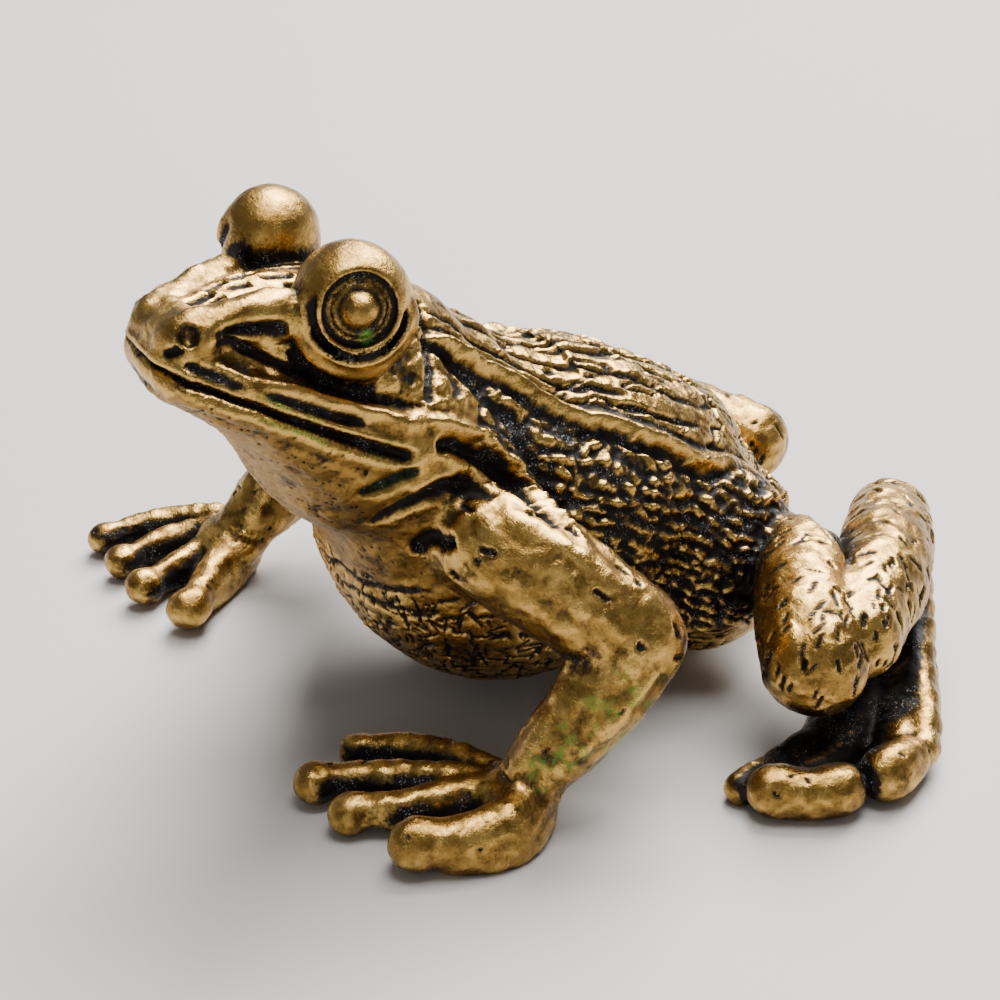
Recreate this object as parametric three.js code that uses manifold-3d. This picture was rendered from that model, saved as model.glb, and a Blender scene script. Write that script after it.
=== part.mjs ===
// A sitting frog, cast in solid brass: a desk miniature a little over 35 mm long.
//
// The real miniature is one casting. It is drawn here as the regions a sculptor would
// block it out in (trunk, head, eyes, limbs, feet), so that the space between the limbs
// and the belly stays open. A modelling gap of GAP separates neighbouring regions.
//
// Units are millimetres. +Z is up, the frog looks along -Y and its left side is +X.
// Every part is laid out with the snout-to-rump line on X = 0 and the soles on Z = 0.
// At the end the whole frog is moved so that its bounding box is centred on X and Y.

import * as THREE from 'three';
import { mergeVertices } from 'three/addons/utils/BufferGeometryUtils.js';
import Module from 'manifold-3d';

const wasm = await Module();
wasm.setup();

// ---------------------------------------------------------------- driving dimensions

const GAP = 0.3; // space left between two neighbouring regions of the casting
const ROUND_SIDES = 12; // sides of every limb, toe and eye
const TRUNK_SIDES = 24; // sides of the trunk and head
const TRUNK_ROWS = 16; // rows of faces from one end of the trunk or head to the other
const BLUNTNESS = 0.45; // 1 would close the trunk and head like a ball, 0 like a drum
const WELD = 1e-4; // vertices closer than this are one vertex

const BRASS = new THREE.Color(0.62, 0.46, 0.2);
const BRASS_ROUGHNESS = 0.38;
const BRASS_METALNESS = 1.0;

const LEFT = 1; // sign of X on the frog's left
const RIGHT = -1;

// Sections across the trunk, neck first: centre (y, z), half-width and half-height.
const TRUNK_SECTIONS = [
  { y: -7.0, z: 15.2, halfWidth: 4.6, halfHeight: 3.4 },
  { y: -3.9, z: 11.8, halfWidth: 6.3, halfHeight: 5.4 },
  { y: -0.5, z: 8.4, halfWidth: 7.3, halfHeight: 7.2 },
  { y: 3.6, z: 7.4, halfWidth: 7.3, halfHeight: 6.6 },
  { y: 7.8, z: 6.5, halfWidth: 6.1, halfHeight: 5.3 },
  { y: 11.7, z: 4.9, halfWidth: 3.9, halfHeight: 2.9 },
  { y: 14.8, z: 3.3, halfWidth: 1.8, halfHeight: 1.5 },
];

// Sections across the head, snout first.
const HEAD_SECTIONS = [
  { x: 1.3, y: -16.6, z: 20.3, halfWidth: 2.4, halfHeight: 1.5 }, // the snout leans to the left
  { x: 1.1, y: -15.0, z: 19.8, halfWidth: 3.3, halfHeight: 2.1 },
  { x: 0.6, y: -12.3, z: 18.7, halfWidth: 4.3, halfHeight: 2.9 },
  { y: -9.2, z: 17.1, halfWidth: 5.5, halfHeight: 4.1 },
  { y: -6.2, z: 15.4, halfWidth: 6.1, halfHeight: 4.6 },
  { y: -3.4, z: 13.8, halfWidth: 5.6, halfHeight: 4.2 },
];

const EYE = { x: 3.5, y: -8.6, z: 21.1, radius: 2.35 };
const PUPIL = { radius: 0.75, proud: 0.35 }; // a small boss on the outward side of the eye
const PUPIL_AIM = new THREE.Vector3(0.88, -0.39, 0.25); // where the left eye looks

const SHOULDER = { x: 6.5, y: -4.0, z: 10.4, radius: 2.25 };
const ELBOW = { x: 11.4, y: -0.2, z: 7.3, radius: 1.85 };

// Each front foot: wrist and palm, then the finger tips from the innermost outwards.
const LEFT_FRONT = {
  wrist: { x: 11.0, y: -4.7, z: 2.3, radius: 1.3 },
  palm: { x: 10.7, y: -6.2, z: 1.25, radius: 1.45 },
  tips: [
    { x: 4.3, y: -8.9, z: 0.62, radius: 0.72 },
    { x: 6.1, y: -11.4, z: 0.62, radius: 0.78 },
    { x: 8.2, y: -11.3, z: 0.66, radius: 0.84 },
    { x: 11.3, y: -10.4, z: 0.8, radius: 1.0 },
  ],
};
const RIGHT_FRONT = {
  wrist: { x: 12.5, y: -5.8, z: 2.3, radius: 1.3 },
  palm: { x: 12.0, y: -7.4, z: 1.25, radius: 1.45 },
  tips: [
    { x: 9.0, y: -10.4, z: 0.8, radius: 0.95 },
    { x: 11.2, y: -11.4, z: 0.66, radius: 0.82 },
    { x: 13.8, y: -11.4, z: 0.62, radius: 0.78 },
    { x: 15.7, y: -11.2, z: 0.62, radius: 0.72 },
  ],
};
const FINGER_ROOT_RADIUS = 0.62;
const TIP_TO_BONE = 0.8; // a finger or toe is this much thinner than its round tip
const FOREARM_STEP = 0.1; // the forearm starts this much thinner than the elbow

const HIP = { x: 7.0, y: 10.2, z: 6.3, radius: 2.5 };
const KNEE = { x: 13.2, y: 7.1, z: 5.0, radius: 2.25 };
const ANKLE = { x: 5.3, y: 16.4, z: 5.0, radius: 1.75 };
const SHANK_KNEE_END = { x: 12.6, y: 9.6, z: 5.3, radius: 1.95 };

// The hind foot: heel under the ankle, ball of the foot, toe tips from the innermost.
const HEEL = { x: 7.0, y: 16.0, z: 2.2, radius: 1.25 };
const BALL = { x: 13.4, y: 9.6, z: 1.1, radius: 1.35 };
const TOE_TIPS = [
  { x: 14.0, y: 3.3, z: 0.6, radius: 0.7 },
  { x: 16.2, y: 5.4, z: 0.8, radius: 1.15 },
  { x: 16.9, y: 9.0, z: 0.8, radius: 1.05 },
];
const TOE_ROOT_RADIUS = 0.85;

const WORK_SIZE = 80; // edge of the block that trims everything below the soles

// ---------------------------------------------------------------- small solid tools

/** Turns a closed three.js geometry into a solid that can be joined and cut. */
function solidOf(geometry) {
  const bare = geometry.clone();
  bare.deleteAttribute('normal');
  bare.deleteAttribute('uv');
  const merged = mergeVertices(bare, WELD);
  const corners = merged.index.array;
  const triangles = [];
  for (let i = 0; i < corners.length; i += 3) {
    const [a, b, c] = [corners[i], corners[i + 1], corners[i + 2]];
    if (a !== b && b !== c && c !== a) triangles.push(a, b, c);
  }
  const mesh = new wasm.Mesh({
    numProp: 3,
    vertProperties: new Float32Array(merged.attributes.position.array),
    triVerts: new Uint32Array(triangles),
  });
  return new wasm.Manifold(mesh);
}

/** Turns a solid back into a geometry with flat faces. */
function geometryOf(solid) {
  const mesh = solid.getMesh();
  const geometry = new THREE.BufferGeometry();
  geometry.setAttribute('position', new THREE.BufferAttribute(new Float32Array(mesh.vertProperties), 3));
  geometry.setIndex(new THREE.BufferAttribute(new Uint32Array(mesh.triVerts), 1));
  geometry.computeVertexNormals();
  return geometry;
}

/** Joins a list of solids into one. */
function joined(solids) {
  return solids.reduce((sum, next) => sum.add(next));
}

/** A point on one side of the frog, as a vector; side is LEFT or RIGHT. */
function onSide(spot, side) {
  return new THREE.Vector3(side * spot.x, spot.y, spot.z);
}

/** A ball. */
function ball(centre, radius) {
  const geometry = new THREE.SphereGeometry(radius, ROUND_SIDES, ROUND_SIDES / 2);
  geometry.translate(centre.x, centre.y, centre.z);
  return solidOf(geometry);
}

/**
 * A tapered link with round ends, like a drop: two balls and the cone that hugs both.
 * Its profile is an arc, a straight flank and an arc, turned about its own axis.
 */
function link(start, startRadius, end, endRadius) {
  const axis = new THREE.Vector3().subVectors(end, start);
  const length = axis.length();
  const lean = Math.asin((startRadius - endRadius) / length); // tilt of the flank
  const arcSteps = ROUND_SIDES / 4;
  const profile = [];
  for (let i = 0; i <= arcSteps; i += 1) {
    const angle = -Math.PI / 2 + (lean + Math.PI / 2) * (i / arcSteps);
    profile.push(new THREE.Vector2(startRadius * Math.cos(angle), startRadius * Math.sin(angle)));
  }
  for (let i = 0; i <= arcSteps; i += 1) {
    const angle = lean + (Math.PI / 2 - lean) * (i / arcSteps);
    profile.push(new THREE.Vector2(endRadius * Math.cos(angle), length + endRadius * Math.sin(angle)));
  }
  profile[0].x = 0;
  profile[profile.length - 1].x = 0;
  const geometry = new THREE.LatheGeometry(profile, ROUND_SIDES);
  const turn = new THREE.Quaternion().setFromUnitVectors(new THREE.Vector3(0, 1, 0), axis.normalize());
  geometry.applyQuaternion(turn);
  geometry.translate(start.x, start.y, start.z);
  return solidOf(geometry);
}

/** A chain of tapered links through several spots on one side, grown by a clearance. */
function chain(spots, side, grow = 0) {
  const links = [];
  for (let i = 1; i < spots.length; i += 1) {
    const from = spots[i - 1];
    const to = spots[i];
    links.push(link(onSide(from, side), from.radius + grow, onSide(to, side), to.radius + grow));
  }
  return joined(links);
}

/**
 * A body with an elliptical cross-section that follows the given sections. It is a ball
 * whose rows are moved onto the sections, first one lowest, so both ends close smoothly.
 */
function sectionedBody(sections, grow = 0) {
  const spine = new THREE.CatmullRomCurve3(sections.map((s) => new THREE.Vector3(s.x ?? 0, s.y, s.z)));
  const girth = new THREE.CatmullRomCurve3(
    sections.map((s) => new THREE.Vector3(s.halfWidth + grow, s.halfHeight + grow, 0)),
  );
  const geometry = new THREE.SphereGeometry(1, TRUNK_SIDES, TRUNK_ROWS);
  const position = geometry.attributes.position;
  const across = new THREE.Vector3(1, 0, 0);
  for (let i = 0; i < position.count; i += 1) {
    const height = THREE.MathUtils.clamp(position.getY(i), -1, 1); // -1 at the first section
    const turn = Math.atan2(position.getZ(i), position.getX(i));
    const along = (1 + height) / 2;
    const fullness = Math.sqrt(1 - height * height) ** BLUNTNESS;
    const centre = spine.getPoint(along);
    const size = girth.getPoint(along);
    const upward = new THREE.Vector3().crossVectors(across, spine.getTangent(along));
    centre.addScaledVector(across, size.x * fullness * Math.cos(turn));
    centre.addScaledVector(upward, size.y * fullness * Math.sin(turn));
    position.setXYZ(i, centre.x, centre.y, centre.z);
  }
  return solidOf(geometry);
}

/** Cuts away everything below the surface that the frog sits on, leaving flat soles. */
function onTheFloor(solid) {
  const block = new THREE.BoxGeometry(WORK_SIZE, WORK_SIZE, WORK_SIZE);
  block.translate(0, 0, -WORK_SIZE / 2);
  return solid.subtract(solidOf(block));
}

// ---------------------------------------------------------------- regions of the casting

/** The eyeball with its pupil boss. */
function eye(side, grow = 0) {
  const centre = onSide(EYE, side);
  const aim = PUPIL_AIM.clone().setX(side * PUPIL_AIM.x).normalize();
  const pupilReach = EYE.radius + PUPIL.proud - PUPIL.radius;
  const pupil = centre.clone().addScaledVector(aim, pupilReach);
  return ball(centre, EYE.radius + grow).add(ball(pupil, PUPIL.radius + grow));
}

/** Upper arm: from inside the chest to the elbow. */
function upperArm(side, grow = 0) {
  return chain([SHOULDER, ELBOW], side, grow);
}

/** Forearm: from the elbow to the wrist. */
function forearm(front, side, grow = 0) {
  const start = { ...ELBOW, radius: ELBOW.radius - FOREARM_STEP };
  return chain([start, front.wrist], side, grow);
}

/** Palm and four fingers, each with a round tip, flat underneath. */
function frontFoot(front, side) {
  const root = { ...front.palm, radius: FINGER_ROOT_RADIUS };
  const palm = ball(onSide(front.palm, side), front.palm.radius);
  const parts = [palm];
  for (const tip of front.tips) {
    const slim = { ...tip, radius: tip.radius * TIP_TO_BONE };
    parts.push(chain([root, slim], side));
    parts.push(ball(onSide(tip, side), tip.radius));
  }
  return onTheFloor(joined(parts));
}

/** Thigh: from the hip to the bent knee. */
function thigh(side, grow = 0) {
  return chain([HIP, KNEE], side, grow);
}

/** Shank: folded back along the thigh, from the knee to the ankle. */
function shank(side, grow = 0) {
  return chain([SHANK_KNEE_END, ANKLE], side, grow);
}

/** Hind foot: tarsus, ball of the foot and three visible toes, flat underneath. */
function hindFoot(side) {
  const root = { ...BALL, radius: TOE_ROOT_RADIUS };
  const parts = [chain([HEEL, BALL], side)];
  for (const tip of TOE_TIPS) {
    const slim = { ...tip, radius: tip.radius * TIP_TO_BONE };
    parts.push(chain([root, slim], side));
    parts.push(ball(onSide(tip, side), tip.radius));
  }
  return onTheFloor(joined(parts));
}

// ---------------------------------------------------------------- assembly

const frog = new THREE.Group();

/** Adds one region to the frog under its own name. */
function addRegion(name, solid) {
  const material = new THREE.MeshStandardMaterial({
    color: BRASS,
    roughness: BRASS_ROUGHNESS,
    metalness: BRASS_METALNESS,
  });
  const mesh = new THREE.Mesh(geometryOf(solid), material);
  mesh.name = name;
  frog.add(mesh);
}

const trunk = sectionedBody(TRUNK_SECTIONS);
const trunkClear = sectionedBody(TRUNK_SECTIONS, GAP);

const eyesClear = eye(LEFT, GAP).add(eye(RIGHT, GAP));
const head = sectionedBody(HEAD_SECTIONS).subtract(trunkClear).subtract(eyesClear);
const headClear = sectionedBody(HEAD_SECTIONS, GAP);

addRegion('trunk', trunk);
addRegion('head', head);

for (const [word, side, front] of [['left', LEFT, LEFT_FRONT], ['right', RIGHT, RIGHT_FRONT]]) {
  addRegion(`${word}_eye`, eye(side));
  const arm = upperArm(side).subtract(trunkClear).subtract(headClear);
  addRegion(`${word}_upper_arm`, arm);
  const lowerArm = forearm(front, side).subtract(upperArm(side, GAP)).subtract(trunkClear);
  addRegion(`${word}_forearm`, lowerArm);
  addRegion(`${word}_front_foot`, frontFoot(front, side).subtract(forearm(front, side, GAP)));
  const upperLeg = thigh(side).subtract(trunkClear);
  addRegion(`${word}_thigh`, upperLeg);
  const lowerLeg = shank(side).subtract(thigh(side, GAP)).subtract(trunkClear);
  addRegion(`${word}_shank`, lowerLeg);
  const foot = hindFoot(side).subtract(shank(side, GAP)).subtract(thigh(side, GAP)).subtract(trunkClear);
  addRegion(`${word}_hind_foot`, foot);
}

// Centre the bounding box on X and Y and put the soles on Z = 0.
const bounds = new THREE.Box3().setFromObject(frog);
const middle = bounds.getCenter(new THREE.Vector3());
frog.position.set(-middle.x, -middle.y, -bounds.min.z);
frog.updateMatrixWorld(true);

export default frog;
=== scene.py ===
"""A sitting frog, cast in one piece in brass, blackened and then polished back.

The frog is sculpted as a block of clay on a regular grid, in the sculptor's own
millimetres. Its skin is then meshed, chased with grooves, ridges and pits, parted into
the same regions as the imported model, and given one antiqued brass finish.
"""

import logging
import math
from dataclasses import dataclass, field
from enum import Enum
from typing import Iterable, Sequence

import bpy
import numpy as np
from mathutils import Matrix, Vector


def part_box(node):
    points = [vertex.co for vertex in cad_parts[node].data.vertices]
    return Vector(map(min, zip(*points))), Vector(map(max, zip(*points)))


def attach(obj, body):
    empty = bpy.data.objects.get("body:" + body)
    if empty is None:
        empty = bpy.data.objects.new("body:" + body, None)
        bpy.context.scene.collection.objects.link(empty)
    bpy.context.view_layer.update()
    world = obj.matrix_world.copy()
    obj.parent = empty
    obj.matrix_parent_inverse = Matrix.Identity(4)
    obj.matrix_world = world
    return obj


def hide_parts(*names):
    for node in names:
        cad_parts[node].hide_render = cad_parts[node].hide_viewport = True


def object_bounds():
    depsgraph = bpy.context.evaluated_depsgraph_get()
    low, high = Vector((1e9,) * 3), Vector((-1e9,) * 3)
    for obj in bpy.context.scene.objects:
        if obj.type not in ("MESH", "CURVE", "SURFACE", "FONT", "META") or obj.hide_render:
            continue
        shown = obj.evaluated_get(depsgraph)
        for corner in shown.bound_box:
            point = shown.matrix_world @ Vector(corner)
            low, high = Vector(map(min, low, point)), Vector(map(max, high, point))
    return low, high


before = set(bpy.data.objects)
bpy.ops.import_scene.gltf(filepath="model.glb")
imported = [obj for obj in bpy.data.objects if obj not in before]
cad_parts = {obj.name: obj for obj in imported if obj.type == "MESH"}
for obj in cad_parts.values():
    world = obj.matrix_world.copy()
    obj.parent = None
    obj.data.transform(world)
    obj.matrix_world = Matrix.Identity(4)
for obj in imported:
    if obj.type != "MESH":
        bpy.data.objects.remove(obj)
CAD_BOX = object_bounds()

log = logging.getLogger("frog")

MM = 0.001  # metres in a millimetre
BODY = "root"

FINE_STEP = 0.125  # distance between two grid places, in millimetres
FINE_POINTS = 200_000  # a skin with more points than this comes from the fine grid
ROOM = 1.0  # clay left round the model's box, in millimetres


# ---------------------------------------------------------------- numbers and curves


class Side(Enum):
    """The frog's own left and right, as the sign of X."""

    LEFT = 1
    RIGHT = -1


class View(Enum):
    """Where a stroke is drawn from: the two axes of the drawing and the axis it drops along."""

    SIDE = (1, 2, 0)
    TOP = (0, 1, 2)
    FRONT = (0, 2, 1)


def smooth_step(low: float, high: float, value: np.ndarray) -> np.ndarray:
    """Rises smoothly from 0 at low to 1 at high."""
    t = np.clip((value - low) / (high - low), 0.0, 1.0)
    return t * t * (3.0 - 2.0 * t)


def curve(points: Sequence[Sequence[float]], count: int) -> np.ndarray:
    """Runs a smooth curve through points of any number of values.

    Args:
        points: The points that the curve passes through.
        count: How many places along the curve are returned.

    Returns:
        An array of count rows, evenly spaced in the points' own numbering.
    """
    p = np.asarray(points, float)
    p = np.vstack([2 * p[0] - p[1], p, 2 * p[-1] - p[-2]])
    at = np.linspace(0.0, len(p) - 3.0, count)
    i = np.minimum(at.astype(int), len(p) - 4)
    t = (at - i)[:, None]
    a, b, c, d = p[i], p[i + 1], p[i + 2], p[i + 3]
    cubic = -a + 3 * b - 3 * c + d
    square = 2 * a - 5 * b + 4 * c - d
    return 0.5 * (2 * b + (c - a) * t + square * t**2 + cubic * t**3)


def unit(vector: Sequence[float]) -> np.ndarray:
    """The vector at length 1."""
    v = np.asarray(vector, float)
    return v / np.linalg.norm(v)


class Noise:
    """Seeded value noise in three dimensions, between -1 and 1."""

    PERIOD = 32

    def __init__(self, seed: int) -> None:
        """Fills the lattice.

        Args:
            seed: The seed of the random lattice.
        """
        side = (self.PERIOD,) * 3
        self.lattice = np.random.default_rng(seed).uniform(-1.0, 1.0, side)

    def at(self, points: np.ndarray, size: float, octaves: int = 1) -> np.ndarray:
        """Samples the noise.

        Args:
            points: Places, one per row.
            size: The size of the largest lumps, in the points' own unit.
            octaves: How many layers are added, each half the size of the last.

        Returns:
            One value per place.
        """
        total = np.zeros(len(points))
        weight = 1.0
        for octave in range(octaves):
            spot = points * (2.0**octave / size) + 7.3 * octave
            cell = np.floor(spot).astype(int)
            part = spot - cell
            part = part * part * (3.0 - 2.0 * part)
            for corner in np.ndindex(2, 2, 2):
                share = np.prod(np.where(corner, part, 1.0 - part), axis=1)
                i, j, k = ((cell + corner) % self.PERIOD).T
                total += weight * share * self.lattice[i, j, k]
            weight *= 0.5
        return total


# ---------------------------------------------------------------- the sculptor's bench


class Bench:
    """The sculptor's bench: millimetres, mirror plane on X = 0, soles on Z = 0."""

    SNOUT_Y = -16.74  # where the tip of the snout lies on the bench

    def __init__(self) -> None:
        """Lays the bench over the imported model."""
        low, high = CAD_BOX
        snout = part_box("head")[0].y
        middle = (low.x + high.x) / 2
        self.shift = np.array([middle, snout - self.SNOUT_Y * MM, low.z]) / MM

    def to_frame(self, points: Sequence[float] | np.ndarray) -> np.ndarray:
        """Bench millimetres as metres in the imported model's frame."""
        return (np.asarray(points, float) + self.shift) * MM

    def box(self, node: str) -> tuple[np.ndarray, np.ndarray]:
        """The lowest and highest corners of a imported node, on the bench."""
        low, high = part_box(node)
        return np.array(low) / MM - self.shift, np.array(high) / MM - self.shift

    def tucked(self, node: str, radius: float, corner: tuple[int, int, int]) -> np.ndarray:
        """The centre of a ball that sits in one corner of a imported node's box.

        Args:
            node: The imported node.
            radius: The ball's radius in millimetres.
            corner: For each axis, -1 for the low side of the box and 1 for the high side.

        Returns:
            The ball's centre, on the bench.
        """
        low, high = self.box(node)
        sign = np.array(corner)
        return np.where(sign < 0, low, high) - sign * radius


# ---------------------------------------------------------------- shapes in clay

Grids = tuple[np.ndarray, np.ndarray, np.ndarray]


@dataclass
class Drop:
    """A tapered link with round ends."""

    start: np.ndarray
    end: np.ndarray
    start_radius: float
    end_radius: float

    def reach(self) -> tuple[np.ndarray, np.ndarray]:
        """The corners of the box that holds the shape.

        Returns:
            The box's lowest and highest corner.
        """
        radius = max(self.start_radius, self.end_radius)
        ends = np.array([self.start, self.end], float)
        return ends.min(0) - radius, ends.max(0) + radius

    def distance(self, x: np.ndarray, y: np.ndarray, z: np.ndarray) -> np.ndarray:
        """The signed distance to the surface at each place.

        Args:
            x: The x of the places.
            y: The y of the places.
            z: The z of the places.

        Returns:
            One signed distance per place, below zero inside.
        """
        axis = np.asarray(self.end, float) - self.start
        dx, dy, dz = x - self.start[0], y - self.start[1], z - self.start[2]
        along = (dx * axis[0] + dy * axis[1] + dz * axis[2]) / (axis @ axis)
        t = np.clip(along, 0.0, 1.0)
        off = np.sqrt((dx - t * axis[0]) ** 2 + (dy - t * axis[1]) ** 2 + (dz - t * axis[2]) ** 2)
        return off - (self.start_radius + t * (self.end_radius - self.start_radius))


@dataclass
class Egg:
    """An ellipsoid."""

    centre: np.ndarray
    radii: tuple[float, float, float]

    def reach(self) -> tuple[np.ndarray, np.ndarray]:
        """The corners of the box that holds the shape."""
        radius = max(self.radii)
        return np.asarray(self.centre) - radius, np.asarray(self.centre) + radius

    def distance(self, x: np.ndarray, y: np.ndarray, z: np.ndarray) -> np.ndarray:
        """The signed distance to the surface at each place, near enough for blending.

        Args:
            x: The x of the places.
            y: The y of the places.
            z: The z of the places.

        Returns:
            One signed distance per place, below zero inside.
        """
        near = 0.0
        nearer = 0.0
        for places, middle, radius in zip((x, y, z), self.centre, self.radii):
            part = (places - middle) / radius
            near = near + part**2
            nearer = nearer + (part / radius) ** 2
        near = np.sqrt(near)
        return near * (near - 1.0) / np.maximum(np.sqrt(nearer), 1e-6)


@dataclass
class Ring:
    """A round ring."""

    centre: np.ndarray
    axis: np.ndarray
    radius: float
    tube: float

    def reach(self) -> tuple[np.ndarray, np.ndarray]:
        """The corners of the box that holds the shape."""
        size = self.radius + self.tube
        return np.asarray(self.centre) - size, np.asarray(self.centre) + size

    def distance(self, x: np.ndarray, y: np.ndarray, z: np.ndarray) -> np.ndarray:
        """The signed distance to the surface at each place.

        Args:
            x: The x of the places.
            y: The y of the places.
            z: The z of the places.

        Returns:
            One signed distance per place, below zero inside.
        """
        dx, dy, dz = x - self.centre[0], y - self.centre[1], z - self.centre[2]
        height = dx * self.axis[0] + dy * self.axis[1] + dz * self.axis[2]
        across = np.sqrt(np.maximum(dx**2 + dy**2 + dz**2 - height**2, 0.0))
        return np.sqrt((across - self.radius) ** 2 + height**2) - self.tube


@dataclass
class Barrel:
    """A body of oval section round a spine that lies in the mirror plane.

    Each station is (y, z, half-width, height above the spine, depth below it).
    """

    stations: Sequence[tuple[float, float, float, float, float]]
    squareness: tuple[float, float]  # above and below the spine: 2 is an ellipse, more is boxier
    top_taper: float  # how much narrower the section is at its top
    caps: tuple[float, float]  # how far the ends bulge, first and last
    sway: tuple[float, float, float] = (0.0, 1.0, 0.0)  # from one y to another, how far aside

    SAMPLES = 160

    def reach(self) -> tuple[np.ndarray, np.ndarray]:
        """The corners of the box that holds the shape.

        Returns:
            The box's lowest and highest corner.
        """
        s = np.array(self.stations)
        wide = s[:, 2].max()
        tall = s[:, 3:].max() + max(self.caps)
        low = np.array([-wide, s[:, 0].min() - tall, s[:, 1].min() - tall])
        high = np.array([wide, s[:, 0].max() + tall, s[:, 1].max() + tall])
        return low, high

    def distance(self, x: np.ndarray, y: np.ndarray, z: np.ndarray) -> np.ndarray:
        """The signed distance to the surface at each place, near enough for blending.

        Args:
            x: The x of the places.
            y: The y of the places.
            z: The z of the places.

        Returns:
            One signed distance per place, below zero inside.
        """
        s = curve(self.stations, self.SAMPLES).astype(np.float32)
        x = x - self.sway[2] * smooth_step(self.sway[0], self.sway[1], y)
        tangent = np.gradient(s[:, :2], axis=0)
        tangent /= np.linalg.norm(tangent, axis=1)[:, None]
        gap_y = y[..., None] - s[:, 0]
        gap_z = z[..., None] - s[:, 1]
        nearest = np.argmin(gap_y**2 + gap_z**2, axis=-1)
        dy = np.take_along_axis(gap_y + 0 * gap_z, nearest[..., None], -1)[..., 0]
        dz = np.take_along_axis(gap_z + 0 * gap_y, nearest[..., None], -1)[..., 0]
        ty, tz = tangent[nearest, 0], tangent[nearest, 1]
        past_end = (nearest == 0) | (nearest == self.SAMPLES - 1)
        along = np.where(past_end, dy * ty + dz * tz, 0.0)
        upward = dz * ty - dy * tz
        cap = np.where(nearest == 0, *self.caps).astype(np.float32)
        height = np.where(upward > 0, s[nearest, 3], s[nearest, 4])
        rise = np.clip(upward / height, 0.0, 1.0)
        width = s[nearest, 2] * (1.0 - self.top_taper * rise**1.4)
        n = np.where(upward > 0, *self.squareness).astype(np.float32)
        flat = (np.abs(upward) / height) ** n + (np.abs(along) / cap) ** n
        k = ((np.abs(x) / width) ** n + flat) ** (1.0 / n)
        r = np.sqrt(x**2 + upward**2 + along**2)
        return r - r / np.maximum(k, 1e-6)


Shape = Drop | Egg | Ring | Barrel


def limb(spots: Sequence[np.ndarray], radii: Sequence[float], bends: int = 0) -> list[Drop]:
    """A limb or finger as a row of drops.

    Args:
        spots: The joints, from root to tip.
        radii: One radius per joint.
        bends: How many extra joints a smooth bend puts between two of them.

    Returns:
        The drops, root first.
    """
    rows = [[*spot, radius] for spot, radius in zip(spots, radii)]
    if bends:
        rows = curve(rows, (len(rows) - 1) * (bends + 1) + 1)
    rows = np.asarray(rows)
    return [Drop(a[:3], b[:3], a[3], b[3]) for a, b in zip(rows[:-1], rows[1:])]


class Region(Enum):
    """The regions of the casting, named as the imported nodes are."""

    TRUNK = "trunk"
    HEAD = "head"
    LEFT_EYE = "left_eye"
    RIGHT_EYE = "right_eye"
    LEFT_UPPER_ARM = "left_upper_arm"
    RIGHT_UPPER_ARM = "right_upper_arm"
    LEFT_FOREARM = "left_forearm"
    RIGHT_FOREARM = "right_forearm"
    LEFT_FRONT_FOOT = "left_front_foot"
    RIGHT_FRONT_FOOT = "right_front_foot"
    LEFT_THIGH = "left_thigh"
    RIGHT_THIGH = "right_thigh"
    LEFT_SHANK = "left_shank"
    RIGHT_SHANK = "right_shank"
    LEFT_HIND_FOOT = "left_hind_foot"
    RIGHT_HIND_FOOT = "right_hind_foot"

    @classmethod
    def of(cls, side: Side, part: str) -> "Region":
        """The region of that part on that side."""
        return cls(f"{side.name.lower()}_{part}")


REGIONS = list(Region)


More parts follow.
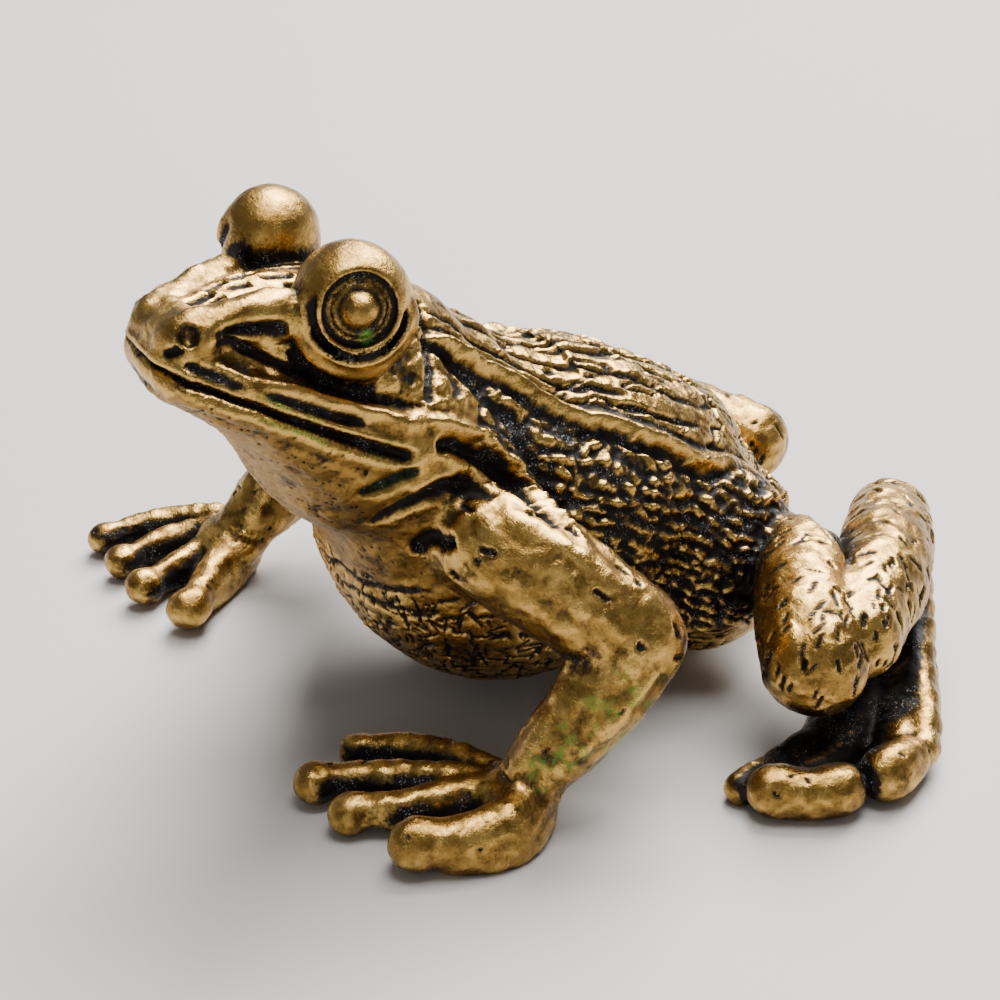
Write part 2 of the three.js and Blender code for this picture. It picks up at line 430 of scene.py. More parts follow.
class Clay:
    """A block of clay: signed distances, in millimetres, on a regular grid."""

    FAR = 3.0  # distances are kept up to this far from the surface
    MARGIN = 2.1

    def __init__(self, low: np.ndarray, high: np.ndarray, step: float) -> None:
        """Makes an empty block.

        Args:
            low: The block's lowest corner.
            high: The block's highest corner.
            step: The distance between two grid places.
        """
        self.low = low
        self.step = step
        self.axes = [np.arange(a, b + step, step, dtype=np.float32) for a, b in zip(low, high)]
        size = tuple(len(axis) for axis in self.axes)
        self.field = np.full(size, self.FAR, np.float32)
        self.closest = np.full(size, self.FAR, np.float32)
        self.owner = np.zeros(size, np.uint8)

    def window(self, shape: Shape) -> tuple[tuple[slice, ...], Grids]:
        """The part of the block that a shape can reach, as slices and open grids.

        Args:
            shape: The shape.

        Returns:
            The slices of the block, and its open grids of x, y and z.
        """
        low, high = shape.reach()
        cuts = []
        for axis, a, b in zip(self.axes, low - self.MARGIN, high + self.MARGIN):
            cuts.append(slice(np.searchsorted(axis, a), np.searchsorted(axis, b)))
        x, y, z = (axis[cut] for axis, cut in zip(self.axes, cuts))
        return tuple(cuts), (x[:, None, None], y[None, :, None], z[None, None, :])

    def add(self, shape: Shape, blend: float, region: Region) -> None:
        """Joins a shape to the clay.

        Args:
            shape: The shape.
            blend: The width of the soft join, in millimetres.
            region: The region that the shape belongs to.
        """
        cut, grids = self.window(shape)
        new = shape.distance(*grids).astype(np.float32)
        old = self.field[cut]
        soft = np.maximum(blend - np.abs(old - new), 0.0) / blend
        self.field[cut] = np.minimum(old, new) - soft * soft * blend * 0.25
        nearer = new < self.closest[cut]
        self.closest[cut][nearer] = new[nearer]
        self.owner[cut][nearer] = REGIONS.index(region)

    def add_all(self, shapes: Iterable[Shape], blend: float, region: Region) -> None:
        """Joins several shapes to the clay, each with the same blend."""
        for shape in shapes:
            self.add(shape, blend, region)

    def carve(self, shape: Shape, blend: float) -> None:
        """Cuts a shape out of the clay, with a soft edge of the given width.

        Args:
            shape: The shape.
            blend: The width of the soft edge, in millimetres.
        """
        cut, grids = self.window(shape)
        new = -shape.distance(*grids).astype(np.float32)
        old = self.field[cut]
        soft = np.maximum(blend - np.abs(old - new), 0.0) / blend
        self.field[cut] = np.maximum(old, new) + soft * soft * blend * 0.25

    def level(self, height: float) -> None:
        """Cuts everything below a height away, leaving flat soles."""
        below = height - self.axes[2][None, None, :]
        np.maximum(self.field, below, out=self.field)

    def sample(self, points: np.ndarray) -> np.ndarray:
        """The distance at any places, one per row, read between the grid places.

        Args:
            points: The places.

        Returns:
            One distance per place.
        """
        spot = (points - self.low) / self.step
        size = np.array(self.field.shape)
        cell = np.clip(np.floor(spot).astype(np.int64), 0, size - 2)
        part = np.clip(spot - cell, 0.0, 1.0)
        flat = self.field.reshape(-1)
        base = (cell[:, 0] * size[1] + cell[:, 1]) * size[2] + cell[:, 2]
        total = np.zeros(len(points))
        for i, j, k in np.ndindex(2, 2, 2):
            share = np.where(i, part[:, 0], 1 - part[:, 0])
            share = share * np.where(j, part[:, 1], 1 - part[:, 1])
            share = share * np.where(k, part[:, 2], 1 - part[:, 2])
            total += share * flat[base + (i * size[1] + j) * size[2] + k]
        return total

    def slope(self, points: np.ndarray) -> np.ndarray:
        """The direction in which the distance grows, at each place.

        Args:
            points: The places.

        Returns:
            One direction per place.
        """
        reach = self.step * 0.7
        parts = []
        for axis in np.eye(3) * reach:
            parts.append(self.sample(points + axis) - self.sample(points - axis))
        return np.stack(parts, axis=1) / (2 * reach)

    def region_at(self, points: np.ndarray) -> np.ndarray:
        """The number of the region that each place belongs to.

        Args:
            points: The places.

        Returns:
            One number per place.
        """
        size = np.array(self.field.shape) - 1
        i, j, k = np.clip(np.rint((points - self.low) / self.step).astype(int), 0, size).T
        return self.owner[i, j, k]


# ---------------------------------------------------------------- the skin


class Skin:
    """The surface of the clay as a mesh of quads, with what is chased into it."""

    SETTLINGS = 3  # how often the mesh is eased and laid back on the clay
    EASE = 0.6  # how far a point is eased towards the mean of its neighbours
    FLATTEST = 0.05  # the least slope, squared, that a point is moved by

    def __init__(self, clay: Clay) -> None:
        """Meshes the clay and settles the mesh onto its surface.

        Args:
            clay: The finished clay.
        """
        self.clay = clay
        self.points, self.quads = self.netted(clay)
        self.link()
        for _ in range(self.SETTLINGS):
            self.points += self.EASE * (self.averaged(self.points) - self.points)
            self.settle()
        self.normals = self.facing()
        self.region = self.regions()
        self.relief = np.zeros(len(self.points))
        self.green = np.zeros(len(self.points))
        # Black patina in the grooves, with painted shade and painted contact shadow in places.
        self.patina_and_shade = np.zeros(len(self.points))

    def link(self) -> None:
        """Lists the edges and counts them at each point."""
        self.edges = np.vstack([self.quads[:, [a, (a + 1) % 4]] for a in range(4)])
        self.valence = np.bincount(self.edges[:, 0], minlength=len(self.points)).astype(float)

    @staticmethod
    def netted(clay: Clay) -> tuple[np.ndarray, np.ndarray]:
        """Finds one point in each cell that the surface crosses, and joins them in quads.

        Args:
            clay: The finished clay.

        Returns:
            The points, and the numbers of the four points of each quad.
        """
        depth = clay.field
        inside = depth < 0
        count = np.zeros(tuple(n - 1 for n in depth.shape), np.uint8)
        for i, j, k in np.ndindex(2, 2, 2):
            count += Skin.corner(inside, i, j, k)
        cells = np.argwhere((count > 0) & (count < 8))
        number = np.full(count.shape, -1, np.int32)
        number[tuple(cells.T)] = np.arange(len(cells))
        total = np.zeros((len(cells), 3))
        crossings = np.zeros(len(cells))
        for axis in range(3):
            for side in np.ndindex(2, 2):
                first = np.insert(np.array(side), axis, 0)
                last = np.insert(np.array(side), axis, 1)
                a = depth[tuple((cells + first).T)]
                b = depth[tuple((cells + last).T)]
                crosses = (a < 0) != (b < 0)
                share = np.where(crosses, a / np.where(crosses, a - b, 1.0), 0.0)
                place = cells + first + share[:, None] * (last - first)
                total += np.where(crosses[:, None], place, 0.0)
                crossings += crosses
        points = clay.low + clay.step * total / crossings[:, None]
        quads = []
        for axis in range(3):
            u, v = (axis + 1) % 3, (axis + 2) % 3
            step = np.eye(3, dtype=int)
            low = [slice(None)] * 3
            high = [slice(None)] * 3
            low[axis], high[axis] = slice(None, -1), slice(1, None)
            changes = inside[tuple(low)] != inside[tuple(high)]
            edge = np.argwhere(changes)
            edge = edge[(edge[:, u] > 0) & (edge[:, v] > 0)]
            limit = np.array(count.shape)
            edge = edge[(edge < limit).all(1)]
            ring = [edge, edge - step[u], edge - step[u] - step[v], edge - step[v]]
            corners = np.stack([number[tuple(r.T)] for r in ring], axis=1)
            outward = inside[tuple(edge.T)]
            corners[~outward] = corners[~outward][:, ::-1]
            quads.append(corners)
        return points, np.vstack(quads)

    @staticmethod
    def corner(grid: np.ndarray, i: int, j: int, k: int) -> np.ndarray:
        """The grid shifted to one corner of every cell."""
        cuts = [slice(1, None) if shift else slice(None, -1) for shift in (i, j, k)]
        return grid[tuple(cuts)]

    def averaged(self, values: np.ndarray) -> np.ndarray:
        """Each point's mean over its neighbours, for one or several values per point.

        Args:
            values: One row per point.

        Returns:
            The means, one row per point.
        """
        columns = values.reshape(len(values), -1)
        found = np.empty(columns.shape)
        for i, column in enumerate(columns.T):
            total = np.bincount(self.edges[:, 0], column[self.edges[:, 1]], len(values))
            total += np.bincount(self.edges[:, 1], column[self.edges[:, 0]], len(values))
            found[:, i] = total / (2 * self.valence)
        return found.reshape(values.shape)

    def smoothed(self, values: np.ndarray, rounds: int) -> np.ndarray:
        """The values averaged over neighbours several times.

        Args:
            values: One row per point.
            rounds: How many times.

        Returns:
            The smoothed values.
        """
        for _ in range(rounds):
            values = 0.5 * values + 0.5 * self.averaged(values)
        return values

    def settle(self) -> None:
        """Moves each point onto the clay's surface."""
        slope = self.clay.slope(self.points)
        steep = np.maximum((slope**2).sum(1), self.FLATTEST)
        move = (self.clay.sample(self.points) / steep)[:, None] * slope
        self.points -= np.clip(move, -self.clay.step, self.clay.step)

    def facing(self) -> np.ndarray:
        """The outward direction at each point.

        Returns:
            One unit vector per point.
        """
        p = self.points
        q = self.quads
        across = np.cross(p[q[:, 2]] - p[q[:, 0]], p[q[:, 3]] - p[q[:, 1]])
        total = np.zeros(p.shape)
        for i in range(3):
            for corner in range(4):
                total[:, i] += np.bincount(q[:, corner], across[:, i], len(p))
        return total / np.maximum(np.linalg.norm(total, axis=1), 1e-12)[:, None]

    def regions(self) -> np.ndarray:
        """The region of each point, with smooth borders.

        Returns:
            The number of a region per point.
        """
        raw = self.clay.region_at(self.points)
        votes = np.zeros((len(raw), len(REGIONS)))
        votes[np.arange(len(raw)), raw] = 1.0
        return np.argmax(self.smoothed(votes, 12), axis=1)

    def hollows(self) -> np.ndarray:
        """How closed in each point is by the clay round it, from 0 to 1.

        Returns:
            One value per point.
        """
        total = np.zeros(len(self.points))
        for reach, weight in ((0.35, 0.35), (0.8, 0.35), (1.6, 0.3)):
            clear = self.clay.sample(self.points + reach * self.normals) / reach
            total += weight * np.clip(1.0 - clear, 0.0, 1.0)
        return total

    def weather(self, flank: np.ndarray, chest: np.ndarray) -> None:
        """Works out where the black stays and where the brass is polished bright, with the painted shade
        kept dark.

        Args:
            flank: How much each point lies on the flanks.
            chest: How much each point lies on the chest, which is kept less bright as painted shade.
        """
        hollow = self.hollows()
        rounds = 14 if len(self.points) > FINE_POINTS else 5
        sunk = self.smoothed(self.relief, rounds) - self.relief
        broad = self.smoothed(self.relief, rounds * 4) - self.relief
        self.press()
        web = np.isin(self.region, [REGIONS.index(Region.of(side, "hind_foot")) for side in Side])
        hollow = hollow * (1.0 + 0.9 * web)
        # The black takes in the patina and the painted shade and contact shadow marked on the skin.
        self.recess = np.clip(hollow * 1.1 + sunk * 3.2 + broad * 1.6 + 0.55 * self.patina_and_shade, 0.0, 1.0)
        self.recess = np.maximum(self.recess, 0.36 * flank * (broad > -0.06))
        # The chest term keeps the downward-facing chest less bright: painted shade.
        self.polish = np.clip(0.55 - sunk * 7.0 - broad * 2.0 - 0.5 * chest, 0.0, 1.0)

    def press(self) -> None:
        """Moves the points by the relief that has been chased, and finds the new facing."""
        self.points += self.relief[:, None] * self.normals
        self.normals = self.facing()
        self.points[:, 2] = np.maximum(self.points[:, 2], 0.0)


# ---------------------------------------------------------------- building the frog


@dataclass
class Head:
    """The head: a wedge on the mouth plane, with ridges, nostrils and domed eyes."""

    bench: Bench
    pitch: float = math.radians(27)  # the mouth plane rises this much towards the snout
    corner: tuple[float, float] = (-6.5, 14.4)  # y and z of the corners of the mouth
    eye_radius: float = 2.35
    right_eye_share: float = 0.87  # the right eye is a little smaller
    arc_step: float = 12.0  # degrees between two drops of a bent bar
    gaze: tuple[float, float, float] = (0.93, -0.27, 0.2)  # where the left eye looks
    sway: tuple[float, float, float] = (-7.0, -17.0, 1.3)  # the snout leans to the left

    def on_mouth(self, forward: float, above: float = 0.0, x: float = 0.0) -> np.ndarray:
        """A place given by how far it lies forward of the mouth's corners and above it.

        Args:
            forward: How far it lies forward.
            above: How far it lies above.
            x: Its x.

        Returns:
            The place.
        """
        y = self.corner[0] - forward * math.cos(self.pitch) + above * math.sin(self.pitch)
        z = self.corner[1] + forward * math.sin(self.pitch) + above * math.cos(self.pitch)
        return np.array([x, y, z])

    def aside(self, y: float) -> float:
        """How far the middle of the snout lies to the left at a given y."""
        return self.sway[2] * float(smooth_step(self.sway[0], self.sway[1], np.array(y)))

    def eye_centre(self, side: Side) -> np.ndarray:
        """The centre of an eye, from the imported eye's box."""
        node = Region.of(side, "eye").value
        return self.bench.tucked(node, self.eye_radius, (-side.value, 1, 1))

    def build(self, clay: Clay) -> None:
        """Adds the head to the clay.

        Args:
            clay: The clay that it is added to.
        """
        stations = [
            (10.3, 2.8, 2.4, 1.1),
            (9.0, 3.7, 3.3, 1.35),
            (6.7, 4.6, 4.25, 1.95),
            (4.2, 5.3, 4.9, 3.3),
            (1.5, 5.85, 5.35, 4.6),
            (-1.0, 5.9, 5.1, 4.5),
            (-2.5, 5.2, 4.6, 4.2),
        ]
        rows = []
        for forward, width, above, below in stations:
            _, y, z = self.on_mouth(forward)
            rows.append((y, z, width, above, below))
        clay.add(Barrel(rows, (2.4, 2.0), 0.42, (0.65, 3.0), self.sway), 1.2, Region.HEAD)
        tip = self.on_mouth(10.35, 1.15, self.aside(-16.5))
        clay.add(Egg(tip, (2.3, 1.15, 1.25)), 0.8, Region.HEAD)
        for side in Side:
            self.face(clay, side)
        for side in Side:
            self.eye(clay, side)

    def face(self, clay: Clay, side: Side) -> None:
        """Adds the ridge from snout to eye, and cuts the hollow under it.

        Args:
            clay: The clay that it is added to.
            side: The side of the head.
        """
        s = side.value
        lower = 0.0 if side is Side.LEFT else 0.35
        ridge = [
            np.array([s * 1.1, -15.6, 20.6 - lower]),
            np.array([s * 1.7, -14.2, 20.95 - lower]),
            np.array([s * 2.2, -12.3, 21.05 - lower]),
            np.array([s * 2.7, -10.9, 20.9 - lower]),
        ]
        for spot in ridge:
            spot[0] += self.aside(spot[1])
        thick = [0.65, 0.75, 0.75, 0.85] if side is Side.LEFT else [0.55, 0.6, 0.55, 0.45]
        clay.add_all(limb(ridge, thick, bends=2), 0.6, Region.HEAD)
        nostril = np.array([s * 1.75 + self.aside(-15.2), -15.4, 21.3])
        clay.add(Egg(nostril - (s * 0.3, -0.35, 0.55 + lower), (0.75,) * 3), 0.7, Region.HEAD)
        clay.carve(Egg(nostril + (s * 0.45, -0.1, -0.1), (0.5, 0.45, 0.45)), 0.1)
        before_eye = (self.on_mouth(9.0, 1.9, s * 3.9), self.on_mouth(5.9, 2.4, s * 5.0))
        below_eye = (self.on_mouth(5.0, 2.2, s * 5.9), self.on_mouth(1.5, 1.7, s * 6.7))
        clay.carve(Drop(*before_eye, 0.55, 0.95), 0.5)
        clay.carve(Drop(*below_eye, 0.8, 0.6), 0.5)

    def eye(self, clay: Clay, side: Side) -> None:
        """Adds an eye: a dome with a lid, an iris disc and a round pupil.

        Args:
            clay: The clay that it is added to.
            side: The side of the head.
        """
        k = 1.0 if side is Side.LEFT else self.right_eye_share
        centre = self.eye_centre(side) + (0, 0, k - 1.0)
        gaze = unit((side.value * self.gaze[0], self.gaze[1], self.gaze[2]))
        region = Region.of(side, "eye")
        clay.add(Egg(centre, (self.eye_radius * k,) * 3), 0.3, region)
        clay.add(Egg(centre + (0, 0, -0.9), (2.2 * k, 2.2 * k, 2.5)), 0.4, region)
        if side is Side.LEFT:
            low_lid = centre + gaze * 0.85 + (0, -0.1, -0.3)
            clay.add_all(self.arc(low_lid, gaze, side, 2.2, (90, 255), 0.3), 0.3, region)
        clay.carve(Egg(centre + gaze * 3.66 * k, (2.55 * k,) * 3), 0.12)
        for drop in self.arc(centre + gaze * 1.4 * k, gaze, side, 1.8 * k, (105, 245), 0.2):
            clay.carve(drop, 0.1)
        clay.add_all(self.arc(centre + gaze * 1.45 * k, gaze, side, 1.52 * k, (0, 360), 0.15), 0.1, region)
        clay.carve(Ring(centre + gaze * 1.6 * k, gaze, 1.3 * k, 0.13), 0.06)
        clay.add(Egg(centre + gaze * 0.6 * k, (1.42 * k,) * 3), 0.05, region)
        clay.carve(Ring(centre + gaze * 1.92 * k, gaze, 0.86 * k, 0.12), 0.08)
        clay.add(Egg(centre + gaze * 1.58 * k, (0.72 * k,) * 3), 0.05, region)

    def arc(
        self,
        centre: np.ndarray,
        axis: np.ndarray,
        side: Side,
        radius: float,
        span: tuple[float, float],
        tube: float,
    ) -> list[Drop]:
        """A round bar bent to an arc about the line of sight.

        Args:
            centre: The centre of the arc.
            axis: The line of sight.
            side: The side of the head.
            radius: The arc's radius.
            span: First and last angle in degrees, from the top over the back of the eye.
            tube: The bar's radius.

        Returns:
            The drops that make the bar.
        """
        up = unit(np.array([0.0, 0.0, 1.0]) - axis * axis[2])
        back = side.value * np.cross(up, axis)
        back = back if back[1] > 0 else -back
        count = int((span[1] - span[0]) / self.arc_step) + 2
        angles = np.radians(np.linspace(*span, count))
        spots = [centre + radius * (up * math.cos(a) + back * math.sin(a)) for a in angles]
        return [Drop(a, b, tube, tube) for a, b in zip(spots[:-1], spots[1:])]


@dataclass
class Trunk:
    """The trunk: throat, chest, belly and the sloping back."""

    def build(self, clay: Clay) -> None:
        """Adds the trunk to the clay.

        Args:
            clay: The clay that it is added to.
        """
        stations = [
            (-7.6, 15.0, 4.9, 3.3, 3.6),
            (-3.9, 12.1, 6.1, 5.0, 5.9),
            (-0.5, 9.2, 7.0, 6.3, 8.2),
            (3.6, 7.9, 7.0, 6.1, 7.1),
            (7.8, 6.8, 5.0, 4.7, 5.8),
            (11.2, 5.0, 2.5, 2.3, 3.4),
            (13.4, 3.8, 1.5, 1.4, 2.0),
        ]
        clay.add(Barrel(stations, (2.2, 2.4), 0.12, (2.5, 0.8)), 1.2, Region.TRUNK)
        clay.add(Egg(np.array([0.3, -8.6, 14.2]), (4.6, 2.9, 3.5)), 1.2, Region.TRUNK)
        for side in Side:
            haunch = np.array([side.value * 4.3, 7.4, 5.4])
            clay.add(Egg(haunch, (3.3, 4.0, 4.3)), 1.0, Region.TRUNK)


@dataclass
class Arm:
    """A front leg with its foot of four fingers."""

    bench: Bench
    side: Side
    fingers: Sequence[Sequence[tuple[float, float]]]  # x and y of each finger, root to tip
    girths: Sequence[tuple[float, float]]  # each finger's bone and tip radius
    shoulder: tuple[float, float, float] = (6.2, -4.2, 10.6)
    shoulder_radius: float = 2.2
    elbow_radius: float = 1.85
    wrist_radius: float = 1.3

    def build(self, clay: Clay) -> None:
        """Adds the arm to the clay.

        Args:
            clay: The clay that it is added to.
        """
        s = self.side.value
        word = self.side.name.lower()
        shoulder = np.array(self.shoulder) * (s, 1, 1)
        elbow = self.bench.tucked(f"{word}_upper_arm", self.elbow_radius, (s, 1, -1))
        wrist = self.bench.tucked(f"{word}_forearm", self.wrist_radius, (-s, -1, -1))
        if self.side is Side.RIGHT:
            wrist = self.bench.tucked(f"{word}_forearm", self.wrist_radius, (s, -1, -1))
        upper = Region.of(self.side, "upper_arm")
        lower = Region.of(self.side, "forearm")
        foot = Region.of(self.side, "front_foot")
        middle = (shoulder + elbow) / 2 + np.array([s * 0.25, -0.15, 0.3])
        spots = [shoulder, middle, elbow]
        clay.add_all(limb(spots, [self.shoulder_radius, 2.05, self.elbow_radius], 3), 0.7, upper)
        bend = (elbow + wrist) / 2 + np.array([s * 0.2, 0.2, 0.1])
        clay.add_all(limb([elbow, bend, wrist], [1.8, 1.65, self.wrist_radius], 3), 0.45, lower)
        palm = wrist + np.array([0.0, -1.0, -0.75])
        clay.add(Egg(palm, (1.75, 1.5, 0.95)), 0.6, foot)
        for path, (bone, tip) in zip(self.fingers, self.girths):
            self.finger(clay, foot, [(s * x, y) for x, y in path], bone, tip)

    def finger(
        self, clay: Clay, region: Region, path: Sequence[tuple[float, float]], bone: float, tip: float
    ) -> None:
        """Adds one finger with a round tip.

        Args:
            clay: The clay.
            region: The foot that the finger belongs to.
            path: The x and y of the finger's joints, root first.
            bone: The finger's radius.
            tip: The radius of its round tip.
        """
        heights = np.linspace(1.5, tip * 1.05, len(path))
        spots = [np.array([x, y, z]) for (x, y), z in zip(path, heights)]
        radii = np.linspace(bone * 1.15, bone, len(path))
        clay.add_all(limb(spots, list(radii), 2), 0.25, region)
        clay.add(Egg(spots[-1], (tip, tip * 1.12, tip)), 0.25, region)
        web = [spot * (1, 1, 0) + (0, 0, 0.55) for spot in spots[: len(spots) - 1]]
        clay.add_all(limb(web, [bone * 1.5, bone * 1.25, bone][: len(web)], 1), 0.7, region)


@dataclass
class HindLeg:
    """A hind leg folded flat: thigh, shank and a long foot with three toes showing."""

    bench: Bench
    side: Side
    knee_radius: float = 2.2
    ankle_radius: float = 1.75

    def build(self, clay: Clay) -> None:
        """Adds the hind leg to the clay.

        Args:
            clay: The clay that it is added to.
        """
        s = self.side.value
        word = self.side.name.lower()
        mirror = np.array([s, 1, 1])
        hip = np.array([7.4, 10.3, 5.9]) * mirror
        knee = self.bench.tucked(f"{word}_thigh", self.knee_radius, (s, -1, -1))
        ankle = self.bench.tucked(f"{word}_shank", self.ankle_radius, (-s, 1, -1))
        if self.side is Side.RIGHT:
            ankle = ankle + np.array([0.8, -0.6, -0.7])
        thigh = Region.of(self.side, "thigh")
        shank = Region.of(self.side, "shank")
        middle = (hip + knee) / 2 + np.array([s * 0.2, -0.2, 0.35])
        clay.add_all(limb([hip, middle, knee], [1.9, 2.0, self.knee_radius], 3), 0.5, thigh)
        bend = knee + np.array([s * -0.5, 2.3, 0.3])
        calf = (bend + ankle) / 2 + np.array([s * 0.3, 0.3, 0.35 if s > 0 else -0.3])
        clay.add_all(limb([bend, calf, ankle], [1.9, 2.0, self.ankle_radius], 3), 0.25, shank)
        crease = np.array([[6.9, 11.5, 7.2], [12.4, 9.8, 6.1]]) * mirror
        clay.carve(Drop(crease[0], crease[1], 0.7, 0.35), 0.4)
        self.foot(clay, ankle, mirror)

    def foot(self, clay: Clay, ankle: np.ndarray, mirror: np.ndarray) -> None:
        """Adds the foot: tarsus along the outside, webbing and three round toes.

        Args:
            clay: The clay that it is added to.
            ankle: The centre of the ankle.
            mirror: The factors that take the left side to this side.
        """
        region = Region.of(self.side, "hind_foot")
        heel = ankle + mirror * (1.4, -0.2, -1.7)
        ball = np.array([16.0, 10.8, 1.1]) * mirror
        tarsus = [heel, (heel + ball) / 2 + mirror * (0.15, 0.1, 0.2), ball]
        clay.add_all(limb(tarsus, [1.2, 0.75, 0.7], 3), 0.4, region)
        sole = [np.array(spot) * mirror for spot in ((9.6, 14.2, 0.9), (12.9, 12.2, 0.8), (15.6, 9.6, 0.7))]
        clay.add_all(limb(sole, [1.3, 1.2, 0.8], 3), 0.6, region)
        toes = [
            ([(13.1, 6.4, 1.0), (13.6, 4.6, 0.8), (14.0, 3.2, 0.62)], (0.45, 0.5, 0.7)),
            ([(15.3, 3.9, 1.05), (16.1, 5.1, 0.95), (16.6, 6.2, 1.05)], (1.08, 1.0, 1.05)),
            ([(16.0, 10.3, 1.1), (16.5, 9.1, 1.15), (16.7, 8.4, 1.15)], (0.7, 1.0, 1.15)),
        ]
        for path, radii in toes:
            spots = [np.array(spot) * mirror for spot in path]
            clay.add_all(limb(spots, radii, 2), 0.2, region)
        web = [np.array(spot) * mirror for spot in ((9.5, 12.5, 0.9), (13.4, 8.0, 0.7), (14.8, 5.6, 0.5))]
        clay.add_all(limb(web, [1.2, 1.1, 0.6], 3), 0.8, region)


# ---------------------------------------------------------------- chasing


@dataclass
class Stroke:
    """A groove or a ridge that is drawn on the skin along a path."""

    view: View
    path: Sequence[tuple[float, float]]
    width: tuple[float, float]  # half the width at the start and at the end
    height: float  # raised above the skin, or cut into it below zero
    parts: Sequence[str]  # the regions that it may touch, without their side
    sides: tuple[Side, ...] = (Side.LEFT, Side.RIGHT)
    bank: float = 0.0  # depth of the grooves that flank a ridge
    green: float = 0.0  # how much green is laid along it
    taper: tuple[float, float] = (0.15, 0.15)  # shares of the length over which the ends fade


